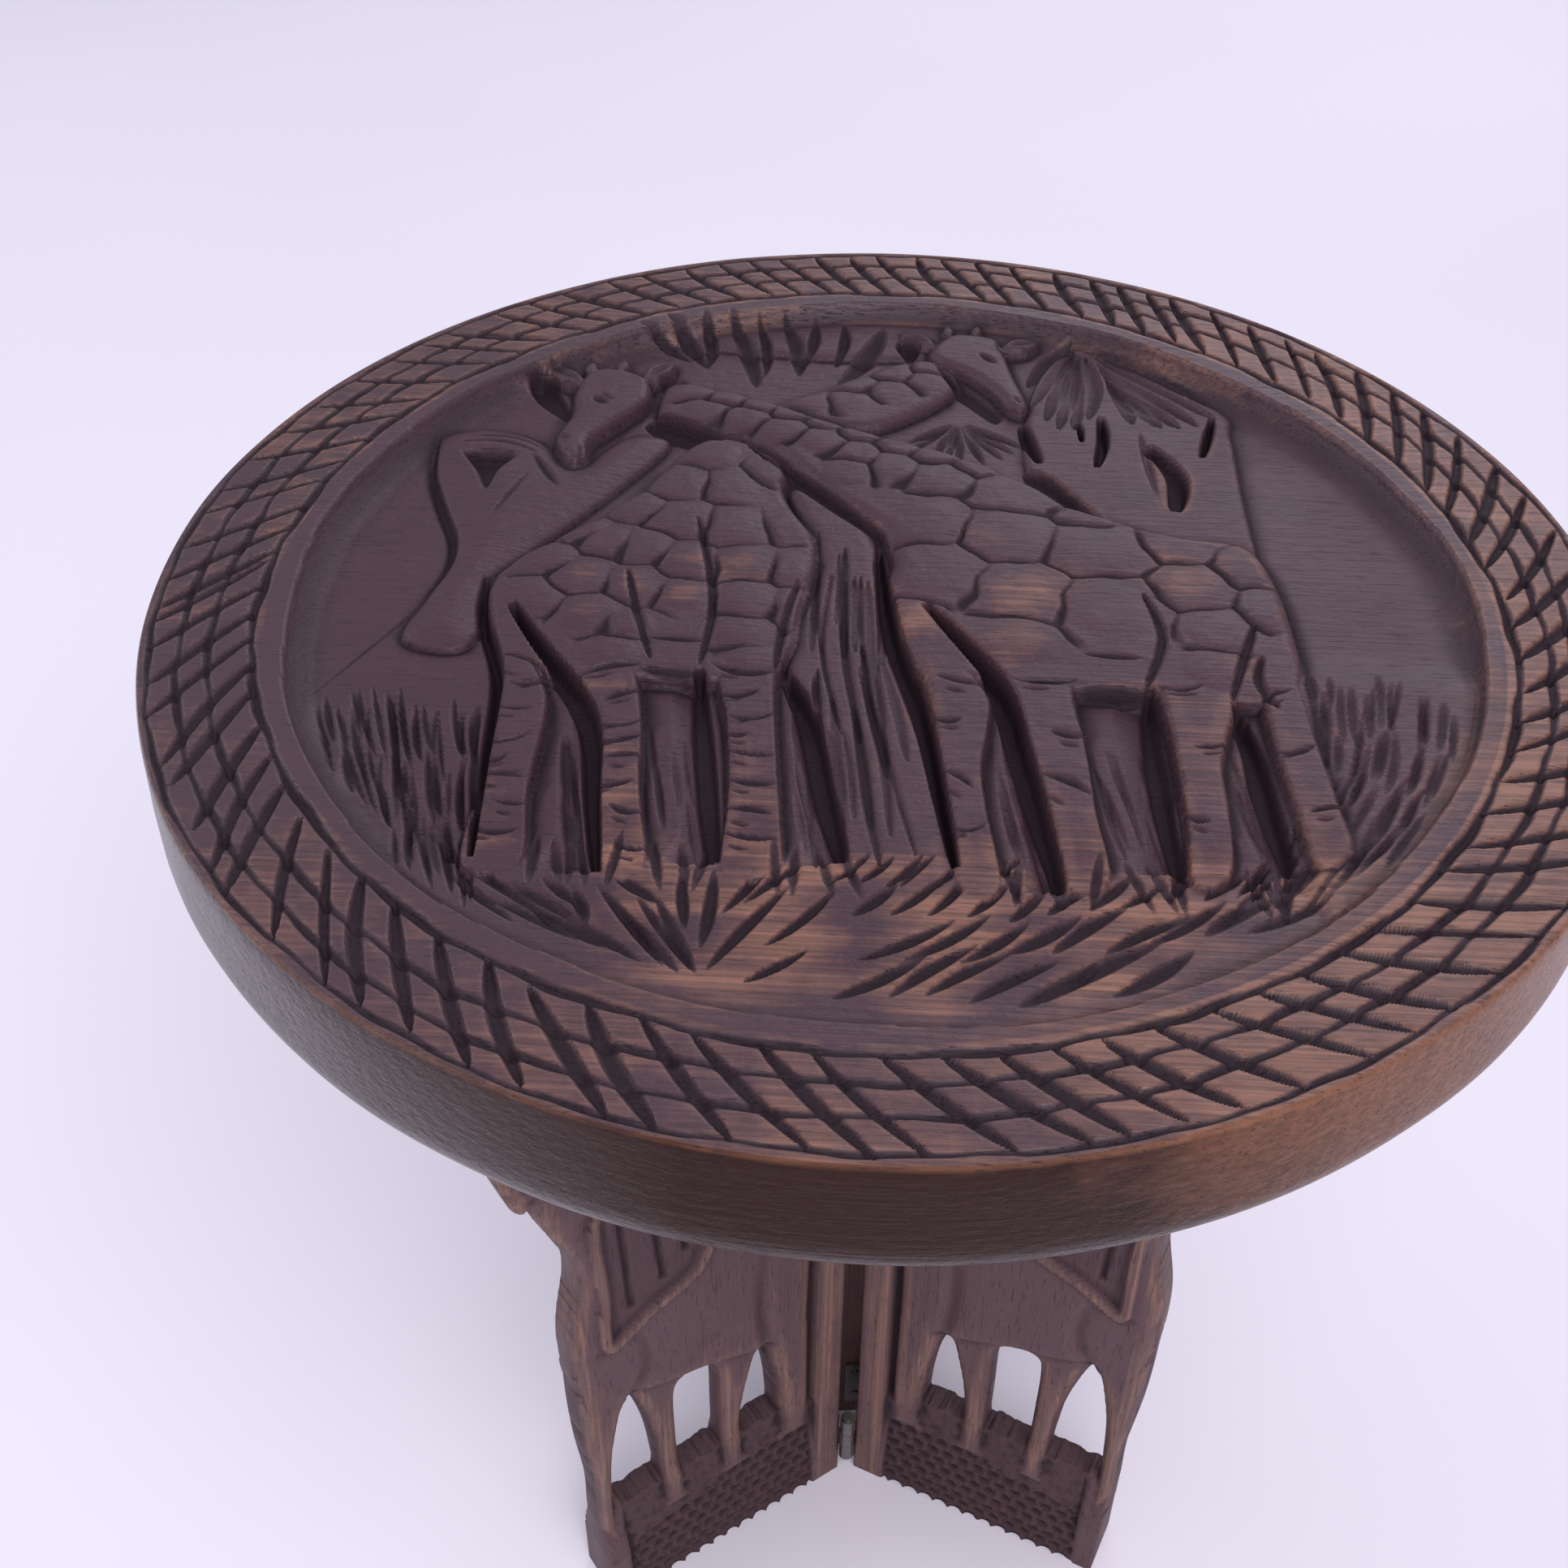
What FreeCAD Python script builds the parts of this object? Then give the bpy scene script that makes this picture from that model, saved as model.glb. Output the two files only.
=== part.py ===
import FreeCAD, Part
import math
import os
import Sketcher

# A low round table: a thick carved disc resting on three pierced elephant
# panels that stand at 120 degrees and fold together on butt hinges.

V = FreeCAD.Vector
doc = FreeCAD.newDocument("coffee_table")
sheet = doc.addObject("Spreadsheet::Sheet", "sizes")

SIZES = {
    # carved top
    "top_diameter": 420.0,
    "top_thickness": 48.0,
    "border_width": 4.6,
    "band_width": 27.4,
    "lip_width": 8.0,
    "field_depth": 8.0,
    "wall_run": 7.0,
    "ring_width": 3.0,
    "ring_depth": 1.8,
    "top_turn": -7.5,
    "near_relief": 5.6,
    "far_relief": 5.0,
    "limb_relief": 4.6,
    "trunk_relief": 3.0,
    "ground_relief": 2.6,
    "palm_relief": 1.5,
    "hollow_depth": 3.6,
    # folding base
    "panel_height": 407.0,
    "plank": 24.0,
    "inner_edge": 11.0,
    "post_width": 11.0,
    "rail_height": 22.0,
    "rail_reach": 166.0,
    "plinth_height": 60.0,
    "plinth_foot": 15.0,
    "plinth_crest": 11.0,
    "plinth_reach": 125.0,
    "web": 11.0,
    "body_thickness": 20.0,
    "ear_thickness": 24.0,
    "leg_thickness": 16.0,
    "left_azimuth": 210.0,
    "right_azimuth": 330.0,
    "back_azimuth": 90.0,
    # butt hinges
    "pin_proud": 1.5,
    "barrel": 6.0,
    "bore": 2.6,
    "pin_diameter": 2.5,
    "leaf_gauge": 1.5,
    "leaf_width": 12.0,
    "hinge_height": 28.0,
    "knuckle_gap": 0.15,
    "low_hinge": 10.0,
    "high_hinge_drop": 51.0,
}

for row, (alias, value) in enumerate(SIZES.items(), start=1):
    sheet.set("A%d" % row, alias.replace("_", " "))
    sheet.set("B%d" % row, str(value))
    sheet.setAlias("B%d" % row, alias)
doc.recompute()

S = SIZES
COS60 = 0.5
SIN60 = math.sqrt(3.0) / 2.0
HALF_PLANK = S["plank"] / 2
PIN_N = HALF_PLANK + S["pin_proud"]
PIN_U = PIN_N * COS60 / SIN60
PIN_N_TEXT = "(sizes.plank / 2 + sizes.pin_proud)"
PIN_U_TEXT = PIN_N_TEXT + " / 1.7320508"


def new_body(label):
    body = doc.addObject("PartDesign::Body", label)
    body.Label = label
    return body


def origin_plane(body, role):
    return [item for item in body.Origin.OriginFeatures if item.Role == role][0]


def new_sketch(body, name, plane, offset=None):
    """A sketch on one of the body's origin planes, moved out by an expression."""
    sketch = body.newObject("Sketcher::SketchObject", name)
    sketch.AttachmentSupport = (origin_plane(body, plane), [""])
    sketch.MapMode = "FlatFace"
    if offset:
        sketch.setExpression("AttachmentOffset.Base.z", offset)
    return sketch


def fix_point(sketch, geometry, end, axis, value, text):
    """Hold one coordinate of a point, bound to the sheet where a text is given."""
    if abs(value) < 1e-9:
        line = -2 if axis == "X" else -1
        sketch.addConstraint(Sketcher.Constraint("PointOnObject", geometry, end, line))
        return
    held = Sketcher.Constraint("Distance" + axis, -1, 1, geometry, end, value)
    index = sketch.addConstraint(held)
    if text:
        sketch.setExpression("Constraints[%d]" % index, text)


def draw_polygon(sketch, corners):
    """Closed outline of straight edges; each corner is (x, x text, y, y text)."""
    points = [V(x, y, 0) for x, _, y, _ in corners]
    count = len(points)
    first = sketch.GeometryCount
    for i in range(count):
        sketch.addGeometry(Part.LineSegment(points[i], points[(i + 1) % count]), False)
    for i in range(count):
        following = first + (i + 1) % count
        sketch.addConstraint(Sketcher.Constraint("Coincident", first + i, 2, following, 1))
    for i, (x, x_text, y, y_text) in enumerate(corners):
        fix_point(sketch, first + i, 1, "X", x, x_text)
        fix_point(sketch, first + i, 1, "Y", y, y_text)


def draw_loop(sketch, points):
    """Closed smooth outline through a few hand-picked points."""
    curve = Part.BSplineCurve()
    curve.interpolate(Points=[V(x, y, 0) for x, y in points], PeriodicFlag=True)
    index = sketch.addGeometry(curve, False)
    sketch.addConstraint(Sketcher.Constraint("Block", index))


def draw_circle(sketch, x, x_text, y, y_text, diameter, text):
    index = sketch.addGeometry(Part.Circle(V(x, y, 0), V(0, 0, 1), diameter / 2), False)
    fix_point(sketch, index, 3, "X", x, x_text)
    fix_point(sketch, index, 3, "Y", y, y_text)
    held = sketch.addConstraint(Sketcher.Constraint("Diameter", index, diameter))
    sketch.setExpression("Constraints[%d]" % held, text)


def pad(body, sketch, length, symmetric=False):
    feature = body.newObject("PartDesign::Pad", sketch.Name + "_pad")
    feature.Profile = sketch
    if symmetric:
        feature.SideType = "Symmetric"
    feature.setExpression("Length", length)
    sketch.Visibility = False
    doc.recompute()
    return feature


def pierce(body, sketch, length="sizes.plank * 2"):
    """Cut evenly to both sides of a sketch, and make sure that it did cut."""
    before = body.Tip.Shape.Volume
    feature = body.newObject("PartDesign::Pocket", sketch.Name + "_cut")
    feature.Profile = sketch
    feature.SideType = "Symmetric"
    feature.setExpression("Length", length)
    sketch.Visibility = False
    doc.recompute()
    if feature.Shape.Volume > before - 100:
        raise RuntimeError(sketch.Name + " cut nothing")
    return feature


def revolve(body, sketch, axis):
    feature = body.newObject("PartDesign::Revolution", sketch.Name + "_turn")
    feature.Profile = sketch
    feature.ReferenceAxis = axis
    feature.Angle = 360.0
    sketch.Visibility = False
    doc.recompute()
    return feature


def fillet(body, base, edges, radius):
    feature = body.newObject("PartDesign::Fillet", base.Name + "_round")
    feature.Base = (base, edges)
    feature.setExpression("Radius", radius)
    doc.recompute()
    return feature


def circle_edges(shape, radius, height):
    """Names of the round edges of a turned shape at a radius and a height."""
    names = []
    for i, edge in enumerate(shape.Edges, start=1):
        curve = edge.Curve
        if not isinstance(curve, Part.Circle):
            continue
        if abs(curve.Radius - radius) < 0.01 and abs(curve.Center.z - height) < 0.01:
            names.append("Edge%d" % i)
    return names


# The carved top

def ring_groove(radius, text):
    """Three corners of a V groove, from its outer lip to its inner lip."""
    half = S["ring_width"] / 2
    height = S["top_thickness"]
    return [
        (radius + half, text + " + sizes.ring_width / 2", height, "sizes.top_thickness"),
        (radius, text, height - S["ring_depth"], "sizes.top_thickness - sizes.ring_depth"),
        (radius - half, text + " - sizes.ring_width / 2", height, "sizes.top_thickness"),
    ]


def make_top():
    body = new_body("table_top")
    profile = new_sketch(body, "top_profile", "XZ_Plane")
    rim = S["top_diameter"] / 2
    height = S["top_thickness"]
    outer_ring = rim - S["border_width"]
    outer_text = "sizes.top_diameter / 2 - sizes.border_width"
    inner_ring = outer_ring - S["band_width"]
    inner_text = outer_text + " - sizes.band_width"
    field = inner_ring - S["lip_width"]
    field_text = inner_text + " - sizes.lip_width"
    floor = height - S["field_depth"]
    floor_text = "sizes.top_thickness - sizes.field_depth"
    corners = [
        (0, None, 0, None),
        (rim, "sizes.top_diameter / 2", 0, None),
        (rim, "sizes.top_diameter / 2", height, "sizes.top_thickness"),
    ]
    corners += ring_groove(outer_ring, outer_text)
    corners += ring_groove(inner_ring, inner_text)
    corners += [
        (field, field_text, height, "sizes.top_thickness"),
        (field - S["wall_run"], field_text + " - sizes.wall_run", floor, floor_text),
        (0, None, floor, floor_text),
    ]
    draw_polygon(profile, corners)
    disc = revolve(body, profile, (profile, ["V_Axis"]))
    under = fillet(body, disc, circle_edges(disc.Shape, rim, 0), "sizes.top_thickness * 0.42")
    arris = fillet(body, under, circle_edges(under.Shape, rim, height), "sizes.top_thickness * 0.04")
    fillet(body, arris, circle_edges(arris.Shape, field - S["wall_run"], floor), "sizes.field_depth * 0.9")
    return body


def relief_sketch(body, name):
    """A sketch sunk a little under the carved field, so that its pad is rooted."""
    return new_sketch(body, name, "XY_Plane", "sizes.top_thickness - sizes.field_depth - 1")


def relief(body, sketch, height):
    return pad(body, sketch, "sizes.%s + 1" % height)


def on_field(points):
    """Fit carving drawn for a top 420 across to this top."""
    spread = S["top_diameter"] / 420.0
    return [(x * spread, y * spread) for x, y in points]


def draw_corners(sketch, points):
    """A straight-edged figure of the carving."""
    draw_polygon(sketch, [(x, None, y, None) for x, y in on_field(points)])


FORKED_TREE = [
    (-142, 80), (-143, 60), (-137, 42), (-131, 26), (-129, 10), (-132, -8), (-116, -26), (-113, 2),
    (-104, 22), (-94, 38), (-80, 62), (-74, 82), (-98, 70), (-120, 84),
]
PALM = [(46, 112), (62, 150), (78, 148), (110, 114), (112, 60), (114, 10), (112, -28), (66, 44), (46, 70)]
TREE_BETWEEN = [
    (-28, 56), (-12, 50), (-3, 34), (1, 8), (2, -18), (10, -52), (20, -114), (-6, -112), (-14, -70),
    (-24, -40), (-26, -10), (-22, 24),
]
NEAR_GIRAFFE = [
    (-75, 94), (-48, 84), (-26, 64), (-2, 37), (2, 12), (10, -32), (56, -40), (100, -42), (117, -36),
    (118, 0), (113, 28), (90, 37), (60, 50), (38, 69), (0, 88), (-42, 109), (-74, 118),
]
NEAR_HEAD = [
    (-77, 106), (-92, 91), (-97, 82), (-106, 83), (-105, 97), (-106, 110), (-116, 127), (-102, 124),
    (-88, 125), (-76, 136), (-74, 120),
]
FAR_GIRAFFE = [
    (-114, 0), (-101, 21), (-84, 40), (-71, 62), (-56, 84), (-36, 76), (-30, 60), (-20, 29), (-20, -6),
    (-25, -30), (-44, -42), (-84, -44), (-111, -18),
]
FAR_HEAD = [
    (-38, 104), (-8, 130), (2, 146), (2, 166), (18, 160), (30, 158), (46, 165), (38, 143), (46, 112),
    (36, 112), (22, 124), (8, 106), (-12, 95),
]
NEAR_LAND = [
    (-112, -125), (-60, -113), (0, -109), (60, -113), (112, -125), (84, -145.5), (0, -168), (-84, -145.5),
]
FAR_LEGS = [(-113, -8), (-104, -44), (-103, -117), (-22, -114), (-26, -44), (-24, -12)]
NEAR_LEGS = [(4, -12), (15, -52), (22, -117), (60, -114), (90, -110), (121, -101), (118, -30), (112, -12)]
HOLLOWS = {
    "far_legs_gap_1": [(-86, -60), (-81, -66), (-75, -90), (-69, -119), (-84, -119), (-87, -84)],
    "far_legs_gap_2": [(-65, -41), (-48, -41), (-43, -76), (-38, -114), (-53, -114), (-60, -80)],
    "far_legs_gap_3": [(-27, -36), (-19, -56), (-12, -86), (-5, -110), (-21, -114), (-25, -80)],
    "near_chest_cut": [(-3, 28), (2, 28), (4, -2), (15, -42), (21, -84), (25, -112), (19, -112), (13, -70), (5, -30)],
    "near_legs_gap_1": [(31, -44), (36, -48), (42, -78), (49, -118), (35, -120), (30, -80)],
    "near_legs_gap_2": [(55, -41), (75, -41), (76, -74), (78, -108), (61, -110), (57, -78)],
    "near_legs_gap_3": [(97, -46), (102, -44), (103, -82), (107, -106), (91, -110), (92, -76)],
    "behind_back": [(43, 74), (52, 73), (61, 60), (68, 47), (60, 48), (50, 58)],
    "under_far_chin": [(20, 138), (28, 130), (34, 118), (41, 107), (36, 101), (28, 112), (21, 126)],
}


def carve_top(body):
    for name, outline, height in (
        ("near_land", NEAR_LAND, "ground_relief"),
        ("palm", PALM, "palm_relief"),
        ("forked_tree", FORKED_TREE, "trunk_relief"),
        ("tree_between", TREE_BETWEEN, "trunk_relief"),
        ("far_head", FAR_HEAD, "far_relief"),
        ("far_body", FAR_GIRAFFE, "far_relief"),
        ("near_body", NEAR_GIRAFFE, "near_relief"),
        ("near_head", NEAR_HEAD, "near_relief"),
    ):
        form = relief_sketch(body, name)
        draw_loop(form, on_field(outline))
        relief(body, form, height)
    for name, outline in (("far_legs", FAR_LEGS), ("near_legs", NEAR_LEGS)):
        legs = relief_sketch(body, name)
        draw_corners(legs, outline)
        relief(body, legs, "limb_relief")
    for name, outline in HOLLOWS.items():
        hollow = new_sketch(body, name, "XY_Plane", "sizes.top_thickness")
        draw_corners(hollow, outline)
        pierce(body, hollow, "2 * (sizes.field_depth + sizes.hollow_depth)")


# The elephant panels, drawn as (distance from the middle, height) on the plank's mid plane

ELEPHANT = [
    (25, 128), (23, 180), (27, 236), (46, 274), (76, 290), (102, 300), (124, 306), (139, 296),
    (142, 275), (134, 250), (127, 230), (126, 214), (131, 184), (130, 150), (120, 134), (108, 135),
    (92, 130), (78, 127), (60, 120), (46, 115), (34, 115),
]
EAR = [(121, 254), (120, 212), (119, 177), (98, 186), (75, 199), (71, 230), (84, 262), (106, 268)]
TRUNK = [
    (124, 304), (132, 282), (142, 272), (150, 298), (160, 338), (167, 376), (165, 402), (152, 402),
    (153, 376), (146, 344), (137, 318),
]
GROUND = [(139, 290), (131, 256), (124, 222), (122, 150)]
LEGS_OUTER = [(131, 152), (130, 118), (127, 84), (127, 61)]
ARCHES = [
    [(40, 48), (40, 73), (43, 97), (48, 113), (53, 97), (57, 73), (57, 48), (48, 44)],
    [(69, 48), (68, 85), (69, 115), (78, 123), (87, 120), (88, 89), (86, 48), (78, 44)],
    [(97, 48), (98, 81), (102, 109), (110, 133), (116, 113), (119, 87), (119, 48), (108, 44)],
]


def on_panel(points, reach):
    """Fit carving drawn for a plank 413 high to this one, stretched along the plank by hand."""
    rise = S["panel_height"] / 413.0
    return [(x * reach, z * rise) for x, z in points]


def make_panel(label, azimuth, reach):
    body = new_body(label)
    short = label.split("_")[0]

    form = new_sketch(body, short + "_elephant", "XZ_Plane")
    draw_loop(form, on_panel(ELEPHANT, reach))
    elephant = pad(body, form, "sizes.body_thickness", True)
    outlines = [
        "Edge%d" % i for i, edge in enumerate(elephant.Shape.Edges, start=1)
        if edge.isClosed() and abs(abs(edge.BoundBox.Center.y) - S["body_thickness"] / 2) < 0.01
    ]
    fillet(body, elephant, outlines, "sizes.body_thickness * 0.2")

    ground = new_sketch(body, short + "_ground", "XZ_Plane")
    top = S["panel_height"]
    edge = [(x, None, z, None) for x, z in on_panel(GROUND, reach)]
    inside = S["inner_edge"] + S["post_width"] / 2
    inside_text = "sizes.inner_edge + sizes.post_width / 2"
    beyond = S["rail_reach"] - 10
    shoulder = top - 2 * S["rail_height"]
    corners = [
        (inside, inside_text, top * 0.315, None),
        (inside, inside_text, top, "sizes.panel_height"),
        (beyond, "sizes.rail_reach - 10", top, "sizes.panel_height"),
        (beyond, "sizes.rail_reach - 10", shoulder, "sizes.panel_height - 2 * sizes.rail_height"),
    ]
    draw_polygon(ground, corners + edge)
    pad(body, ground, "sizes.web", True)

    trunk = new_sketch(body, short + "_trunk", "XZ_Plane")
    draw_loop(trunk, on_panel(TRUNK, 1 + (reach - 1) / 2))
    pad(body, trunk, "sizes.body_thickness * 0.9", True)

    ear = new_sketch(body, short + "_ear", "XZ_Plane")
    draw_loop(ear, on_panel(EAR, reach))
    pad(body, ear, "sizes.ear_thickness", True)

    legs = new_sketch(body, short + "_legs", "XZ_Plane")
    sole = S["plinth_height"] - 3
    sole_text = "sizes.plinth_height - 3"
    flank = [(x, None, z, None) for x, z in on_panel(LEGS_OUTER, reach)]
    flank[-1] = (flank[-1][0], None, sole, sole_text)
    draw_polygon(legs, [(inside, inside_text, sole, sole_text), (inside, inside_text, top * 0.35, None)] + flank)
    pad(body, legs, "sizes.leg_thickness", True)
    for i, arch in enumerate(ARCHES, start=1):
        opening = new_sketch(body, "%s_arch_%d" % (short, i), "XZ_Plane")
        draw_loop(opening, on_panel(arch, reach))
        pierce(body, opening)

    inner = S["inner_edge"]
    outer = inner + S["post_width"]
    outer_text = "sizes.inner_edge + sizes.post_width"
    post = new_sketch(body, short + "_post", "XZ_Plane")
    draw_polygon(post, [
        (inner, "sizes.inner_edge", 0, None),
        (outer, outer_text, 0, None),
        (outer, outer_text, top, "sizes.panel_height"),
        (inner, "sizes.inner_edge", top, "sizes.panel_height"),
    ])
    pad(body, post, "sizes.plank", True)

    rail = new_sketch(body, short + "_rail", "XZ_Plane")
    low = top - S["rail_height"]
    low_text = "sizes.panel_height - sizes.rail_height"
    draw_polygon(rail, [
        (inner, "sizes.inner_edge", low, low_text),
        (S["rail_reach"], "sizes.rail_reach", low, low_text),
        (S["rail_reach"], "sizes.rail_reach", top, "sizes.panel_height"),
        (inner, "sizes.inner_edge", top, "sizes.panel_height"),
    ])
    pad(body, rail, "sizes.plank", True)

    plinth = new_sketch(body, short + "_plinth", "YZ_Plane", "sizes.inner_edge")
    half = S["plank"] / 2
    crest = S["plinth_crest"] / 2
    draw_polygon(plinth, [
        (half, "sizes.plank / 2", 0, None),
        (half, "sizes.plank / 2", S["plinth_foot"], "sizes.plinth_foot"),
        (crest, "sizes.plinth_crest / 2", S["plinth_height"], "sizes.plinth_height"),
        (-crest, "-sizes.plinth_crest / 2", S["plinth_height"], "sizes.plinth_height"),
        (-half, "-sizes.plank / 2", S["plinth_foot"], "sizes.plinth_foot"),
        (-half, "-sizes.plank / 2", 0, None),
    ])
    pad(body, plinth, "(sizes.plinth_reach - sizes.inner_edge) * %.4f" % reach)

    body.Placement = FreeCAD.Placement(V(0, 0, 0), FreeCAD.Rotation(V(0, 0, 1), S[azimuth]))
    body.setExpression("Placement.Rotation.Angle", "sizes." + azimuth)
    return body


# The butt hinges, drawn in the plan of the plank that carries each leaf

def knuckle_levels(hinge, middle):
    """Start expressions of the knuckles that one leaf owns, and their length."""
    third = "(sizes.hinge_height - 2 * sizes.knuckle_gap) / 3"
    step = "(%s + sizes.knuckle_gap)" % third
    levels = [1] if middle else [0, 2]
    return ["%s + %d * %s" % (hinge, n, step) for n in levels], third


def make_leaf(label, hinge, azimuth, side, middle):
    body = new_body(label)
    far = S["inner_edge"]
    near = far - S["leaf_gauge"]
    near_text = "sizes.inner_edge - sizes.leaf_gauge"
    barrel_side = PIN_N - S["barrel"] / 2 - 0.4
    barrel_text = PIN_N_TEXT + " - sizes.barrel / 2 - 0.4"
    free = PIN_N - S["leaf_width"]
    free_text = PIN_N_TEXT + " - sizes.leaf_width"
    sign = "" if side > 0 else "-1 * "

    def strip(sketch, start, start_text, end, end_text):
        draw_polygon(sketch, [
            (near, near_text, side * start, sign + "(" + start_text + ")"),
            (far, "sizes.inner_edge", side * start, sign + "(" + start_text + ")"),
            (far, "sizes.inner_edge", side * end, sign + "(" + end_text + ")"),
            (near, near_text, side * end, sign + "(" + end_text + ")"),
        ])

    plate = new_sketch(body, label + "_plate", "XY_Plane", hinge)
    strip(plate, free, free_text, barrel_side, barrel_text)
    pad(body, plate, "sizes.hinge_height")

    levels, length = knuckle_levels(hinge, middle)
    for i, level in enumerate(levels, start=1):
        tongue = new_sketch(body, "%s_tongue_%d" % (label, i), "XY_Plane", level)
        strip(tongue, barrel_side - 0.6, barrel_text + " - 0.6", PIN_N, PIN_N_TEXT)
        pad(body, tongue, length)
        ring = new_sketch(body, "%s_ring_%d" % (label, i), "XY_Plane", level)
        for diameter in ("barrel", "bore"):
            draw_circle(ring, PIN_U, PIN_U_TEXT, side * PIN_N, sign + PIN_N_TEXT, S[diameter], "sizes." + diameter)
        pad(body, ring, length)

    body.Placement = FreeCAD.Placement(V(0, 0, 0), FreeCAD.Rotation(V(0, 0, 1), S[azimuth]))
    body.setExpression("Placement.Rotation.Angle", "sizes." + azimuth)
    return body


def make_pin(label, hinge, azimuth, side):
    """A hinge pin with a round head that sits on the top knuckle."""
    body = new_body(label)
    sign = "" if side > 0 else "-1 * "
    place = (PIN_U, PIN_U_TEXT, side * PIN_N, sign + PIN_N_TEXT)
    shank = new_sketch(body, label + "_shank", "XY_Plane", hinge)
    draw_circle(shank, *place, S["pin_diameter"], "sizes.pin_diameter")
    pad(body, shank, "sizes.hinge_height + 0.6")
    head = new_sketch(body, label + "_head", "XY_Plane", hinge + " + sizes.hinge_height")
    draw_circle(head, *place, S["pin_diameter"] * 1.7, "sizes.pin_diameter * 1.7")
    pad(body, head, "sizes.pin_diameter * 0.5")
    body.Placement = FreeCAD.Placement(V(0, 0, 0), FreeCAD.Rotation(V(0, 0, 1), S[azimuth]))
    body.setExpression("Placement.Rotation.Angle", "sizes." + azimuth)
    return body


pieces = []
top_body = make_top()
carve_top(top_body)
top_body.Placement = FreeCAD.Placement(V(0, 0, S["panel_height"]), FreeCAD.Rotation(V(0, 0, 1), S["top_turn"]))
top_body.setExpression("Placement.Base.z", "sizes.panel_height")
top_body.setExpression("Placement.Rotation.Angle", "sizes.top_turn")
pieces.append(top_body)

pieces.append(make_panel("left_panel", "left_azimuth", 0.96))
pieces.append(make_panel("right_panel", "right_azimuth", 0.945))
pieces.append(make_panel("back_panel", "back_azimuth", 0.95))

# The right panel is the middle leaf of the base: it carries a hinge on each face.
LEVELS = {
    "low": "sizes.low_hinge",
    "high": "sizes.panel_height - sizes.high_hinge_drop",
}
for line, other, own_side in (("front", "left", -1), ("rear", "back", 1)):
    for level, hinge in LEVELS.items():
        name = "%s_%s_hinge" % (line, level)
        pieces.append(make_leaf(name + "_fixed_leaf", hinge, "right_azimuth", own_side, False))
        pieces.append(make_leaf(name + "_moving_leaf", hinge, other + "_azimuth", -own_side, True))
        pieces.append(make_pin(name + "_pin", hinge, "right_azimuth", own_side))

doc.recompute()

for item in doc.Objects:
    if "Invalid" in item.State or "Error" in item.State:
        raise RuntimeError("%s did not build: %s" % (item.Name, item.State))

os.makedirs("parts", exist_ok=True)
for piece in pieces:
    shape = piece.Shape
    if shape.isNull() or not shape.isValid():
        raise RuntimeError(piece.Label + " has no valid solid")
    shape.exportStep("parts/%s.step" % piece.Label)
    print("%s: %d solid, %.1f cm3" % (piece.Label, len(shape.Solids), shape.Volume / 1000))
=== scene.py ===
import math

import bpy
import numpy as np
from mathutils import Matrix, Vector


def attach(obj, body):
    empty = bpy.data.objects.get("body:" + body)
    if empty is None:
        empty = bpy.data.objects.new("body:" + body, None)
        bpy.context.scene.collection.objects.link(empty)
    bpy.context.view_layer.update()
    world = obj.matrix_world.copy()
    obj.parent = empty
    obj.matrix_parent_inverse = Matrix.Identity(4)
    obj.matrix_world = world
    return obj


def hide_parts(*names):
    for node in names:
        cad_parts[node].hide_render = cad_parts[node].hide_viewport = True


# A round hand-carved table on three folding elephant panels. Carving is worked
# out in millimetres and laid into the meshes in metres.

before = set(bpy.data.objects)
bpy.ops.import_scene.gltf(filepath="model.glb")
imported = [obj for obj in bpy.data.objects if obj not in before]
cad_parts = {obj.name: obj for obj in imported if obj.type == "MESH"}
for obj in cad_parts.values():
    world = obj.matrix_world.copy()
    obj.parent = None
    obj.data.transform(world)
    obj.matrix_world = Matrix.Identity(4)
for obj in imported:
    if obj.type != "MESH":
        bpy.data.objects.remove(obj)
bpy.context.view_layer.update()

MM = 0.001
RIM_HEIGHT = 455.0
TOP_RADIUS = 210.0
TOP_THICKNESS = 48.0
PANEL_HEIGHT = 407.0
DRAWN_HEIGHT = 413.0
RISE = PANEL_HEIGHT / DRAWN_HEIGHT
TOP_TURN = math.radians(-7.5)
FIELD = -8.0
FIELD_RADIUS = 168
DEEPEST = -14

# Where each panel points, and how far its drawing is stretched outward
AZIMUTH = {"left": 210.0, "right": 330.0, "back": 90.0}
REACH = {"left": 0.96, "right": 0.945, "back": 0.95}
rng = np.random.default_rng(20)


# Plane geometry

def smooth_loop(points, closed=True, steps=7):
    """A rounded line through a few points."""
    p = np.asarray(points, float)
    n = len(p)
    out = []
    for i in range(n if closed else n - 1):
        if closed:
            a, b, c, d = p[i - 1], p[i], p[(i + 1) % n], p[(i + 2) % n]
        else:
            a, b, c, d = p[max(i - 1, 0)], p[i], p[i + 1], p[min(i + 2, n - 1)]
        for t in np.arange(steps) / steps:
            out.append(0.5 * (2 * b + (c - a) * t + (2 * a - 5 * b + 4 * c - d) * t**2
                              + (3 * b - a - 3 * c + d) * t**3))
    if not closed:
        out.append(p[-1])
    return np.array(out)


def signed_distance(x, y, loop):
    """Distance to a closed outline, negative inside it."""
    nearest = np.full(x.shape, 1e9)
    inside = np.zeros(x.shape, bool)
    for (x0, y0), (x1, y1) in zip(loop, np.roll(loop, -1, 0)):
        dx, dy = x1 - x0, y1 - y0
        t = unit(((x - x0) * dx + (y - y0) * dy) / (dx * dx + dy * dy + 1e-12))
        nearest = np.minimum(nearest, (x - x0 - t * dx)**2 + (y - y0 - t * dy)**2)
        if y0 != y1:
            inside ^= ((y0 > y) != (y1 > y)) & (x < dx * (y - y0) / dy + x0)
    distance = np.sqrt(nearest)
    return np.where(inside, -distance, distance)


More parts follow.
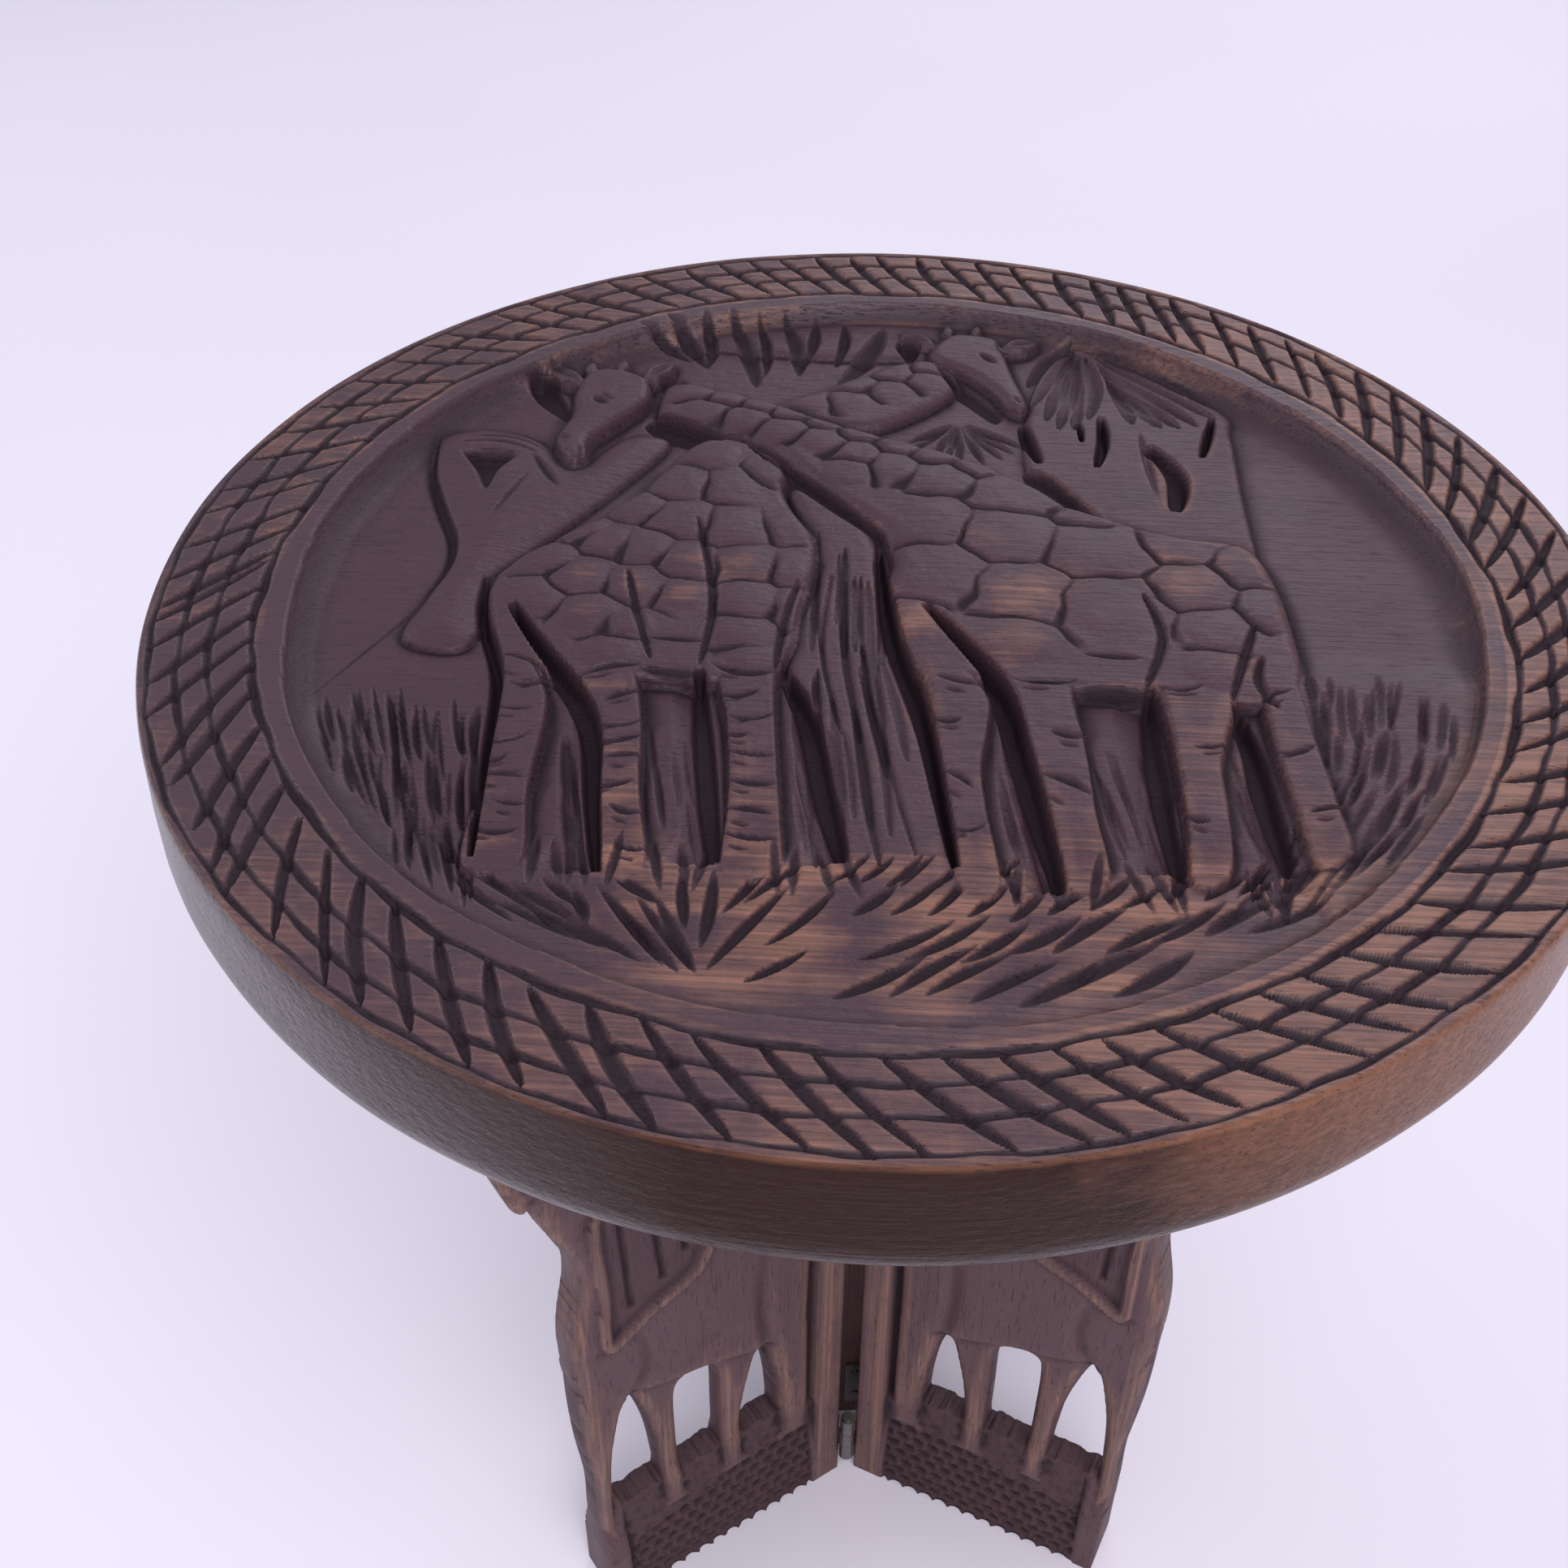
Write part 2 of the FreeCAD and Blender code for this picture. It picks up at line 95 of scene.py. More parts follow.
def nearest_loop(x, y, loops):
    """Distance to the outline of several loops taken together."""
    return np.minimum.reduce([signed_distance(x, y, loop) for loop in loops])


def polar(radius, turn, x=0, y=0):
    """The point at a distance and a direction from (x, y)."""
    return x + radius * math.cos(turn), y + radius * math.sin(turn)


def unit(t):
    return np.clip(t, 0, 1)


def ease(t):
    """A soft step from 0 to 1."""
    t = unit(t)
    return t * t * (3 - 2 * t)


def roll_off(depth, width):
    """Quarter-round rise from an edge: 0 at the edge, 1 a width inside."""
    t = unit(depth / width)
    return np.sqrt(unit(1 - (1 - t)**2))


def box_mean(a, k):
    """Mean over a square window of 2k+1 grid points."""
    p = np.pad(a, k + 1, mode="edge")
    s = p.cumsum(0).cumsum(1)
    w = 2 * k + 1
    n, m = a.shape
    return (s[w:w + n, w:w + m] - s[:n, w:w + m] - s[w:w + n, :m] + s[:n, :m]) / (w * w)


def wobble(x, y, size, seed):
    """Slow uneven ripple, as a hand tool leaves."""
    r = np.random.default_rng(seed)
    total = np.zeros_like(x)
    for _ in range(7):
        a = r.uniform(0, 2 * math.pi)
        k = 2 * math.pi / (size * r.uniform(0.6, 1.8))
        total += np.sin((x * math.cos(a) + y * math.sin(a)) * k + r.uniform(0, 6.3))
    return total / 7


class Carving:
    """A height over a set of points, worked with forms that rise and cuts that sink."""

    def __init__(self, x, y, h):
        self.x, self.y, self.h = x, y, h
        self.cut = np.zeros_like(h)
        self.tile = np.zeros_like(h)

    def near(self, points, margin):
        """Indices of the points in the box round a line or outline."""
        p = np.asarray(points, float)
        lo, hi = p.min(0) - margin, p.max(0) + margin
        return np.nonzero((self.x > lo[0]) & (self.x < hi[0]) & (self.y > lo[1]) & (self.y < hi[1]))[0]

    def darken(self, i, amount):
        """Mark points as cut; their colour is painted darker, partly the stain that stays in the cuts and
        partly painted shade.
        """
        self.cut[i] = np.maximum(self.cut[i], amount)

    def form(self, points, rise, edge=4.0, dome=0.0, stop_cut=0.7, joined=(), run_out=0.0):
        """Raise a figure above the field, with a stop cut round its outline."""
        loops = [smooth_loop(part) for part in (points, *joined)]
        i = self.near(np.concatenate(loops), 8)
        x, y = self.x[i], self.y[i]
        d = nearest_loop(x, y, loops)
        # low down the edges are crisp, and the legs run out into the ground
        edge_width = np.interp(y, [-60, -15], [1.2, edge])
        level = rise * roll_off(-d, edge_width) + dome * ease(-d / 24) * ease((y + 60) / 40)
        level = FIELD + level * (1 - run_out * ease((-92 - y) / 26))
        inside = d < 0
        self.h[i] = np.where(inside, np.maximum(self.h[i], level), self.h[i])
        self.cut[i] = np.where(inside, 0, self.cut[i])
        moat = np.exp(-np.clip(d, 0, None) / 1.6) * (d >= 0)
        lower = (self.h[i] < FIELD + rise) * ease((y + 116) / 12)
        self.h[i] -= stop_cut * moat * lower
        self.darken(i, 0.8 * moat * lower * (stop_cut > 0))

    def sink(self, points, level, wall=2.2, rounded=True, dark=1.0):
        """Sink an area to a level with steep walls."""
        loop = smooth_loop(points) if rounded else np.asarray(points, float)
        i = self.near(loop, 3)
        d = signed_distance(self.x[i], self.y[i], loop)
        t = ease(-d / wall)
        self.h[i] = np.where(t > 0, np.minimum(self.h[i], self.h[i] * (1 - t) + level * t), self.h[i])
        self.darken(i, dark * t)

    def ramp(self, points, left, right):
        """Cut an area down in a slope from its left side to its right."""
        loop = np.asarray(points, float)
        i = self.near(loop, 1)
        x, y = self.x[i], self.y[i]
        order = [[loop[4], loop[5], loop[0]], [loop[3], loop[2], loop[1]]]
        west, east = (np.interp(y, [q[1] for q in side], [q[0] for q in side]) for side in order)
        f = unit((x - west) / np.maximum(east - west, 1))
        inside = ease(-signed_distance(x, y, loop))
        level = left + (right - left) * f**1.2
        self.h[i] = np.minimum(self.h[i], self.h[i] * (1 - inside) + level * inside)
        # the slope is painted darker towards its deep right side: painted shade
        self.darken(i, inside * 0.55 * f**2)

    def trench(self, points, width, level, dark=1.0):
        """A deep narrow slot along a line, pointed at both ends."""
        line = smooth_loop(points, closed=False)
        t = np.linspace(0, 1, len(line))
        half = 0.5 * width * np.sqrt(np.clip(np.sin(math.pi * (0.06 + 0.88 * t)), 0.05, 1))
        way = np.gradient(line, axis=0)
        side = np.stack([-way[:, 1], way[:, 0]], 1)
        side /= np.linalg.norm(side, axis=1)[:, None] + 1e-9
        outline = np.concatenate([line + side * half[:, None], (line - side * half[:, None])[::-1]])
        self.sink(outline, level, wall=min(1.9, width * 0.42), rounded=False, dark=dark)

    def gouge(self, a, b, width, depth, bend=0.0, dark=0.8):
        """One lens-shaped stroke of a gouge from a to b."""
        ax, ay = a
        bx, by = b
        length = math.hypot(bx - ax, by - ay)
        ux, uy = (bx - ax) / length, (by - ay) / length
        i = self.near([a, b], width + abs(bend) * length)
        t = ((self.x[i] - ax) * ux + (self.y[i] - ay) * uy) / length
        s = -(self.x[i] - ax) * uy + (self.y[i] - ay) * ux - 4 * bend * length * t * (1 - t)
        keep = (t > 0) & (t < 1)
        i, t, s = i[keep], t[keep], s[keep]
        swell = np.sin(math.pi * t)**0.6
        across = unit(1 - np.abs(s) / (0.5 * width * swell + 1e-6))
        self.h[i] -= depth * swell * (1 - (1 - across)**2)
        self.darken(i, dark * ease(across * 1.6) * np.sqrt(swell))

    def curve(self, points, width, depth, dark):
        """A knife cut along a curve, widest near its middle."""
        line = smooth_loop(points, closed=False, steps=5)
        i = self.near(line, width)
        x, y = self.x[i], self.y[i]
        best = np.zeros(len(i))
        last = len(line) - 1
        for k in range(last):
            (px, py), (dx, dy) = line[k], line[k + 1] - line[k]
            t = unit(((x - px) * dx + (y - py) * dy) / (dx * dx + dy * dy))
            d = np.hypot(x - px - t * dx, y - py - t * dy)
            half = 0.5 * width * np.sqrt(np.sin(math.pi * np.clip((k + t) / last, 0.02, 0.98)))
            best = np.maximum(best, unit(1 - d / half))
        self.h[i] -= depth * (1 - (1 - best)**2)
        self.darken(i, dark * ease(best * 1.5))

    def coat(self, figures, patches, depth, seed, ring=0.25):
        """Coat patches parted by knife lines, cut deepest along each patch's lower left."""
        r = np.random.default_rng(seed)
        p = np.array(patches, float)
        i = self.near(p[:, :2], 16)
        x = self.x[i] + 1.3 * wobble(self.x[i], self.y[i], 12, seed)
        y = self.y[i] + 1.3 * wobble(self.x[i], self.y[i], 12, seed + 1)
        first, second = np.full(len(i), 9.0), np.full(len(i), 9.0)
        owner = np.zeros(len(i), int)
        for k, (cx, cy, a, b) in enumerate(p):
            q = np.hypot((x - cx) / a, (y - cy) / b)
            second = np.where(q < first, first, np.minimum(second, q))
            owner = np.where(q < first, k, owner)
            first = np.minimum(first, q)
        loops = [smooth_loop(figure) for figure in figures]
        d = nearest_loop(self.x[i], self.y[i], loops)
        on = ease((-d - 0.3) / 1.5) * ease((1.75 - first) / 0.4)
        size = 0.5 * (p[owner, 2] + p[owner, 3])
        gap = 0.5 * (second - first) * size
        lean = np.radians(232 + r.normal(0, 14, len(p)))[owner]
        low = ease(0.3 + 0.7 * np.cos(np.arctan2(y - p[owner, 1], x - p[owner, 0]) - lean))
        line = unit(1 - gap / (0.7 + 1.5 * low))
        self.h[i] += on * depth * (0.5 * unit(1.2 - first * first) - (ring + 1.05 * low) * line)
        self.darken(i, on * (ring + 0.7 * low) * ease(line * 1.3))
        rubbed = np.clip(r.uniform(-0.5, 1.0, len(p)), 0.1, 1)[owner]
        self.tile[i] = np.maximum(self.tile[i], on * rubbed * unit(1.3 - first))


# The top's face

def disc_grid(n):
    """Points of a square grid drawn out to a disc of radius 1."""
    u, v = np.meshgrid(np.linspace(-1, 1, n + 1), np.linspace(-1, 1, n + 1))
    wide = np.abs(u) > np.abs(v)
    r = np.where(wide, u, v)
    safe_u = np.where(u == 0, 1e-9, u)
    safe_v = np.where(v == 0, 1e-9, v)
    a = np.where(wide, math.pi / 4 * v / safe_u, math.pi / 2 - math.pi / 4 * u / safe_v)
    return r * np.cos(a), r * np.sin(a)


NEAR_GIRAFFE = [
    (-75, 94), (-62, 87), (-48, 84), (-36, 77), (-26, 64), (-14, 49), (-2, 37), (3, 20), (1, 4),
    (3, -14), (10, -32), (30, -38), (56, -40), (78, -40), (100, -42), (117, -36), (118, 0), (113, 28),
    (104, 36), (90, 37), (74, 44), (60, 50), (48, 61), (38, 69), (20, 80), (0, 88), (-22, 98),
    (-42, 109), (-60, 116), (-74, 118),
]
NEAR_COAT = [
    (37, 32, 13, 12), (40, 56, 13, 11), (64, 26, 14, 12), (88, 31, 11, 9), (66, -4, 13, 13), (91, 9, 10, 10),
    (96, -12, 9, 9), (94, -30, 8, 8), (16, 12, 12, 13), (14, 38, 11, 11), (18, 62, 10, 9), (40, 2, 12, 13),
    (38, -20, 11, 10), (106, 20, 8, 9), (110, 0, 7, 8), (62, 45, 9, 6), (10, -12, 7, 9),
]
NECK_COAT = [
    (-66, 110, 8, 5), (-54, 107, 7, 5), (-60, 98, 8, 6), (-43, 103, 7, 5), (-47, 95, 8, 6), (-32, 99, 7, 5),
    (-34, 89, 8, 6), (-21, 94, 7, 5), (-21, 83, 8, 7), (-9, 88, 7, 5), (-9, 76, 8, 7), (3, 82, 8, 6),
    (2, 68, 8, 8), (16, 76, 8, 6), (28, 70, 8, 6), (-12, 64, 7, 7),
]
FAR_COAT = [
    (-57, 73, 10, 8), (-65, 54, 10, 9), (-48, 53, 9, 9), (-37, 63, 7, 7), (-77, 42, 9, 8), (-61, 34, 10, 9),
    (-45, 32, 10, 10), (-29, 35, 8, 9), (-91, 27, 9, 7), (-83, 21, 8, 8), (-71, 19, 8, 8), (-57, 13, 8, 8),
    (-40, 12, 9, 9), (-100, 11, 9, 8), (-88, 3, 9, 9), (-73, -1, 8, 8), (-57, -5, 7, 7), (-38, -5, 8, 8),
    (-27, 11, 6, 8), (-101, -8, 8, 8), (-83, -15, 9, 8), (-71, -20, 7, 6), (-39, -21, 8, 7), (-34, -33, 8, 6),
    (-74, -33, 8, 6), (-26, -8, 5, 8),
]
NEAR_HEAD = [
    (-102, 122), (-92, 125), (-81, 119), (-79, 108), (-81, 102), (-88, 91), (-95, 80), (-95, 69), (-99, 65),
    (-103, 69), (-107, 78), (-106, 86), (-104, 95), (-105, 108),
]
FAR_GIRAFFE = [
    (-114, 0), (-110, 10), (-101, 21), (-92, 30), (-84, 40), (-76, 51), (-71, 62), (-64, 76), (-56, 84),
    (-46, 83), (-36, 76), (-30, 66), (-31, 55), (-26, 41), (-20, 29), (-19, 12), (-22, -6), (-25, -30),
    (-44, -42), (-64, -42), (-84, -44), (-100, -36), (-111, -18),
]
FAR_NECK = [(-40, 104), (-22, 119), (-8, 130), (4, 139), (16, 140), (24, 126), (12, 108), (-10, 94)]
FAR_HEAD = [
    (13, 148), (20, 158), (28, 159), (37, 156), (39, 148), (42, 132), (46, 115), (44, 108), (39, 111),
    (34, 121), (25, 132), (15, 139),
]
LEGS = [
    [(-114, -2), (-105, -10), (-99, -28), (-90, -48), (-88, -62), (-88, -90), (-86, -118), (-101, -119),
     (-102, -90), (-103, -60), (-104, -42), (-111, -20)],
    [(-100, -20), (-92, -28), (-82, -44), (-78, -60), (-72, -90), (-66, -119), (-55, -117), (-59, -90),
     (-62, -60), (-66, -38), (-70, -20)],
    [(-46, -20), (-44, -42), (-40, -60), (-37, -90), (-36, -118), (-22, -115), (-23, -90), (-26, -60),
     (-27, -38), (-26, -20)],
    [(4, -16), (12, -36), (16, -60), (19, -84), (22, -118), (33, -119), (30, -90), (29, -74), (31, -58),
     (32, -46), (26, -32), (18, -20)],
    [(34, -30), (38, -48), (41, -66), (45, -88), (49, -118), (60, -114), (58, -90), (57, -70), (55, -45),
     (54, -30)],
    [(78, -30), (79, -60), (80, -90), (80, -114), (90, -110), (92, -88), (92, -70), (95, -56), (99, -42),
     (100, -30)],
    [(107, -30), (105, -44), (106, -64), (108, -84), (111, -106), (121, -100), (120, -80), (118, -56),
     (117, -30)],
]
TREE_BETWEEN = [
    (-30, 57), (-14, 52), (-3, 34), (1, 8), (2, -18), (10, -52), (18, -90), (21, -116), (8, -119),
    (-6, -112), (-14, -70), (-24, -40), (-26, -10), (-22, 24),
]
FORKED_TREE = [
    (-145, 80), (-144, 60), (-138, 42), (-131, 26), (-129, 10), (-132, -6), (-135, -26), (-116, -28),
    (-113, 2), (-104, 22), (-94, 38), (-80, 62), (-70, 84), (-84, 86), (-98, 68), (-108, 78), (-120, 86),
    (-134, 87),
]
PALM = [
    (46, 112), (58, 150), (78, 150), (110, 116), (112, 100), (112, 60), (114, 10), (119, -40), (100, -20),
    (66, 44), (46, 70),
]
PALM_FRONDS = [
    [(62, 156), (54, 147), (47, 130)], [(63, 154), (56, 138), (48, 116)], [(63, 152), (58, 131), (52, 106)],
    [(64, 151), (61, 128), (56, 101)], [(65, 150), (64, 126), (61, 101)], [(67, 149), (69, 128), (66, 108)],
    [(70, 152), (88, 139), (108, 118)], [(71, 148), (88, 132), (107, 111)],
    [(71, 144), (86, 126), (101, 106)], [(72, 140), (84, 120), (95, 104)],
    [(73, 136), (82, 117), (89, 104)], [(74, 132), (78, 119), (80, 106)],
]
PALM_GAPS = [
    ([(44, 104), (46, 92), (49, 79)], 5.5), ([(70, 109), (70, 94), (67, 78)], 5.0),
    ([(84, 92), (92, 74), (90, 54)], 8.0), ([(107, 112), (104, 98), (101, 86)], 3.6),
    ([(62, 106), (63, 100), (63, 93)], 2.6),
]
LEAVES = [(-88, 150), (-70, 163), (-30, 168), (0, 169), (50, 166), (40, 150), (-10, 142), (-60, 146)]
LEAF_CUTS = [
    ((-88, 151), (-68, 138), 5), ((-79, 158), (-62, 134), 7), ((-66, 161), (-62, 136), 5.5),
    ((-57, 163), (-45, 122), 8), ((-47, 163), (-43, 130), 4.5), ((-38, 165), (-31, 131), 7),
    ((-27, 166), (-31, 136), 5), ((-17, 166), (-19, 138), 4.5), ((-3, 164), (-18, 126), 8.5),
]

# The rim's lattice by angle: radius of its outer and inner line, lean and spacing of its strokes
AROUND, OUTER_LINE, INNER_LINE, STROKE_LEAN, STROKE_STEP = np.transpose([
    (-180, 197.5, 189.0, 48, 15), (-150, 198.5, 190.0, 50, 16), (-120, 199.2, 189.5, 50, 16),
    (-100, 197.2, 187.0, 45, 15.5), (-75, 194.8, 185.5, 40, 14.5), (-50, 195.0, 186.8, 43, 14.5),
    (-25, 194.0, 187.6, 45, 14.5), (0, 194.0, 186.8, 50, 15.5), (20, 198.2, 189.3, 56, 15.5),
    (45, 199.6, 190.8, 47, 15), (65, 199.0, 190.0, 36, 13), (90, 198.6, 189.6, 27, 12),
    (115, 198.2, 189.2, 32, 12.5), (145, 197.8, 189.0, 42, 14.5), (180, 197.5, 189.0, 48, 15),
])


def carve_band(c, r, turn):
    """Slanting gouge strokes between two ring grooves, parted in rows by two hand-led lines."""
    inner, middle, outer = 178.3, 195, 206.0
    angle = np.degrees(turn)
    grooves = (
        (206.3, 1.5, 1.3),
        (np.interp(angle, AROUND, OUTER_LINE), 1.7, 1.7),
        (np.interp(angle, AROUND, INNER_LINE), 1.7, 1.7),
        (177.8, 2.2, 1.9),
    )
    for k, (ring, depth, half) in enumerate(grooves):
        waver = 0.35 * np.sin(turn * 9 + k) + 0.30 * np.sin(turn * 31 + 2 * k)
        waver += 0.18 * np.sin(turn * 67 + 5 * k)
        heft = 0.85 + 0.25 * np.sin(turn * 23 + 3 * k)
        v = unit(1 - np.abs(r - ring - waver) / (half * heft))
        c.h -= depth * heft * ease(v)
        c.cut = np.maximum(c.cut, 0.75 * ease(v * 1.4))
    a = -180.0
    while a < 180:
        lean = math.radians(np.interp(a, AROUND, STROKE_LEAN) + rng.normal(0, 2))
        t0 = math.radians(a)
        t1 = t0 + (outer - inner) * math.tan(lean) / middle
        halfway = 0.5 * (t0 + t1) + rng.normal(0.004, 0.003)
        r0, r1 = inner + rng.normal(0.4, 0.6), outer + rng.normal(-0.5, 0.6)
        line = [polar(r0, t0), polar(0.5 * (r0 + r1), halfway), polar(r1, t1)]
        c.curve(line, 4.4 + rng.normal(0, 0.5), 2.2, 0.8)
        a += math.degrees(np.interp(a, AROUND, STROKE_STEP) * rng.uniform(0.85, 1.15) / middle)


def carve_trees(c):
    """The forked tree, the trunk between the giraffes, the palm and the leaves under the far rim."""
    c.form(PALM, 1.6, edge=3.0, stop_cut=0.5)
    c.form(FORKED_TREE, 2.6, edge=9.0, dome=1.6, stop_cut=0.9)
    c.trench([(-145, 80), (-143, 60), (-137, 42), (-130, 24), (-129, 10), (-133, -6)], 4.2, -10.0, dark=0.75)
    c.sink([(-136, 72), (-126, 74), (-117, 71), (-121, 60), (-124, 48), (-130, 60)], -9.6, wall=4.0, dark=0.7)
    for k in range(3):
        c.gouge((-139 + 2 * k, 76 + 4 * k), (-110 + k, 71 + 4 * k), 2.4, 0.8, bend=0.16, dark=0.5)
    c.gouge((-113, 72), (-102, 52), 3.2, 1.2)
    c.gouge((-112, 60), (-120, 34), 2.4, 0.8, dark=0.4)
    c.gouge((-130, -2), (-156, -54), 1.4, 0.6, dark=0.45)
    c.form(TREE_BETWEEN, 3.1, edge=5.0)
    row = 13
    for k in range(2 * row):
        f = (k % row + rng.uniform(0.1, 0.9)) / row
        high = rng.uniform(8, 44 - 22 * f) if k < row else rng.uniform(-62, -20)
        heights = np.array([high, 0.0, max(-113, high - rng.uniform(34, 76))])
        heights[1] = 0.5 * (heights[0] + heights[2])
        across = np.interp(heights, [-112, -18, 47], [-14 + 31 * f, -22 + 22 * f, -24 + 24 * f])
        across[1] += rng.normal(0, 1.2)
        c.curve(list(zip(across, heights)), rng.uniform(1.8, 3.8), rng.uniform(0.7, 1.5), 0.5)
    c.form(LEAVES, 1.8, edge=6.0)
    for a, b, width in LEAF_CUTS:
        c.gouge(a, b, width, 2.6, bend=0.06, dark=0.7)
    for line in PALM_FRONDS:
        c.curve(line, 6.2, 1.7, 0.34)
    fan = (23, 105)
    for a in np.linspace(222, 326, 9):
        t = math.radians(a + rng.normal(0, 1.5))
        reach = rng.uniform(22, 28)
        c.gouge(polar(3, t, *fan), polar(reach, t, *fan), 3.4, 1.6, dark=0.5)
    for line, width in PALM_GAPS:
        c.trench(line, width, -12.2)
    c.gouge((82, 100), (85, 62), 3.0, 1.6, dark=0.3)


HOLLOWS = [
    [(-86, -60), (-81, -66), (-75, -90), (-69, -119), (-84, -119), (-87, -84)],
    [(-65, -41), (-48, -41), (-43, -76), (-38, -114), (-53, -114), (-60, -80)],
    [(-27, -36), (-19, -56), (-12, -86), (-5, -110), (-21, -114), (-25, -80)],
    [(31, -44), (36, -48), (42, -78), (49, -118), (35, -120), (30, -80)],
    [(55, -41), (75, -41), (76, -74), (78, -108), (61, -110), (57, -78)],
    [(97, -46), (102, -44), (103, -82), (107, -106), (91, -110), (92, -76)],
]
DEEP_CUTS = [
    ([(-116, 5), (-114, -14), (-105, -42), (-102, -80), (-99, -116)], 4.6),
    ([(-106, -11), (-95, -29), (-82, -49), (-76, -64), (-72, -90), (-67, -119)], 7.0),
    ([(-49, -37), (-46, -60), (-42, -88), (-38, -113)], 7.0),
    ([(-25, -36), (-18, -54), (-12, -84), (-6, -109)], 7.0),
    ([(-1, 30), (1, 6), (5, -20), (12, -48), (17, -80), (22, -112)], 6.0),
    ([(13, -4), (23, -20), (34, -40), (39, -66), (43, -88), (48, -116)], 7.0),
    ([(75, -37), (75, -60), (76, -84), (78, -110)], 6.6),
    ([(98, -42), (101, -58), (103, -82), (106, -104)], 7.0),
]
FOLDS = [
    [(-74, 6), (-69, -14), (-63, -34)], [(-56, 34), (-48, -5), (-49, -36)],
    [(-24, 5), (-27, -16), (-28, -36)], [(76, 4), (80, -16), (74, -38)],
    [(107, -7), (102, -24), (97, -42)], [(107, -23), (105, -34), (109, -45)],
]
FAR_NECK_COAT = [
    (-26, 108, 7, 6), (-14, 110, 7, 6), (-12, 121, 7, 6), (0, 118, 7, 6), (1, 130, 7, 6), (12, 124, 7, 6),
    (13, 134, 6, 5),
]
UNDER_FAR_JAW = [(15, 137), (25, 131), (34, 120), (39, 110), (35, 104), (27, 113), (19, 124)]
BEHIND_NEAR_CHEEK = [(-122, 117), (-118, 122), (-113, 119), (-106, 108), (-105, 96), (-111, 100), (-118, 108)]
BELLY = -38.0
FAR_LEGS = 3
LEG_WEAR = [0.9, 0.9, 0.8, 0.2, 0.25, 0.4, 0.4]


def carve_far_head(c):
    """The far giraffe's neck and head, which the near one's neck crosses."""
    c.form(FAR_NECK, 3.6, edge=5.0)
    c.coat([FAR_NECK], FAR_NECK_COAT, 1.1, 4)
    c.form(FAR_HEAD, 4.2, edge=4.0, dome=0.8, stop_cut=0.8)
    for a, b in (((14, 150), (3, 159)), ((39, 150), (51, 156))):
        ear(c, a, b, 9.0, 4.0)
    for a, b in (((20, 157), (19, 165)), ((29, 158), (30, 165))):
        ear(c, a, b, 4.5, 3.8, hollow=False)
    c.gouge((30, 144), (36, 137), 4.0, 1.1, dark=0.5)
    c.gouge((41, 116), (44, 112), 2.0, 0.8, dark=0.5)
    c.sink([(1, 150), (4, 156), (11, 151), (7, 141)], -10.8, wall=3.0, dark=0.9)
    # the sink under the jaw is painted dark: the shadow beneath the jaw
    c.sink(UNDER_FAR_JAW, -11.0, wall=4.0, dark=0.8)


def carve_bodies(c):
    """Both bodies with their legs and coats, and the near giraffe's neck."""
    far_legs, near_legs = LEGS[:FAR_LEGS], LEGS[FAR_LEGS:]
    c.form(FAR_GIRAFFE, 4.6, edge=4.0, dome=0.6, stop_cut=0.9, joined=far_legs, run_out=0.3)
    c.form(NEAR_GIRAFFE, 4.8, edge=5.0, dome=0.8, stop_cut=0.9, joined=near_legs, run_out=0.3)
    c.coat([FAR_GIRAFFE, *far_legs], FAR_COAT, 1.6, 8, ring=0.08)
    c.coat([NEAR_GIRAFFE, *near_legs], NEAR_COAT + NECK_COAT, 1.3, 11)
    for k, (leg, rubbed) in enumerate(zip(LEGS, LEG_WEAR)):
        leg_cuts(c, leg, 1.0 if k < FAR_LEGS else 2.3, rubbed)
    # the cut under the neck, painted dark as the shade beneath it, and the wall behind the back
    c.trench([(-79, 97), (-66, 88), (-52, 83)], 10.0, -11.0)
    c.trench([(-44, 80), (-29, 64), (-13, 46), (0, 32)], 7.0, -9.8, dark=0.85)
    c.sink([(43, 74), (52, 73), (61, 60), (68, 47), (60, 48), (50, 58)], -12.0, wall=3.0)


def carve_near_head(c):
    c.form(NEAR_HEAD, 5.2, edge=3.6, dome=0.8, stop_cut=0.9)
    ear(c, (-103, 116), (-116, 126), 9.0, 4.4)
    ear(c, (-82, 119), (-74, 133), 9.5, 4.4)
    for a, b in (((-101, 121), (-101, 129)), ((-91, 123), (-90, 131))):
        ear(c, a, b, 5.5, 4.8, hollow=False)
    c.gouge((-98, 104), (-92, 100), 4.2, 1.2, dark=0.55)
    c.gouge((-96, 107), (-90, 102), 1.4, 0.6, dark=0.6)
    c.gouge((-98, 75), (-97, 66), 1.8, 0.9, dark=0.75)
    c.gouge((-105, 81), (-102, 77), 1.6, 0.7, dark=0.6)
    # the sink behind the cheek is painted dark: the shadow beside the face
    c.sink(BEHIND_NEAR_CHEEK, -11.5, wall=3.0)
    c.sink([(-78, 121), (-70, 126), (-64, 117), (-73, 114)], -10.8, wall=3.0)


def carve_between_legs(c):
    """Hollows between the legs with the knife's long strokes left in them, deep cuts and folds."""
    for area in HOLLOWS:
        c.ramp(area, -5.6, -11.6)
        p = np.array(area)
        for _ in range(8):
            x = rng.uniform(p[:, 0].min() + 5, p[:, 0].max() - 4)
            y = rng.uniform(-90, -56)
            c.gouge((x - 2, y), (x + 3, y - 26), 2.2, 0.7, dark=0.4)
        for x in np.linspace(p[:, 0].min() + 3, p[:, 0].max() - 2, 4):
            c.gouge((x, -104), (x + rng.uniform(-4, 6), -125), 3.2, 1.3, dark=0.5)
    for line, width in DEEP_CUTS:
        c.trench(line, width, -13.4)
    for line in FOLDS:
        c.curve(line, 3.2, 1.7, 0.85)
    for x in (-57, 65):
        c.gouge((x - 9, -39), (x + 10, -40), 5.0, 1.8, dark=0.95)
        c.gouge((x - 8, -25), (x + 9, -26), 3.0, 1.0, dark=0.8)


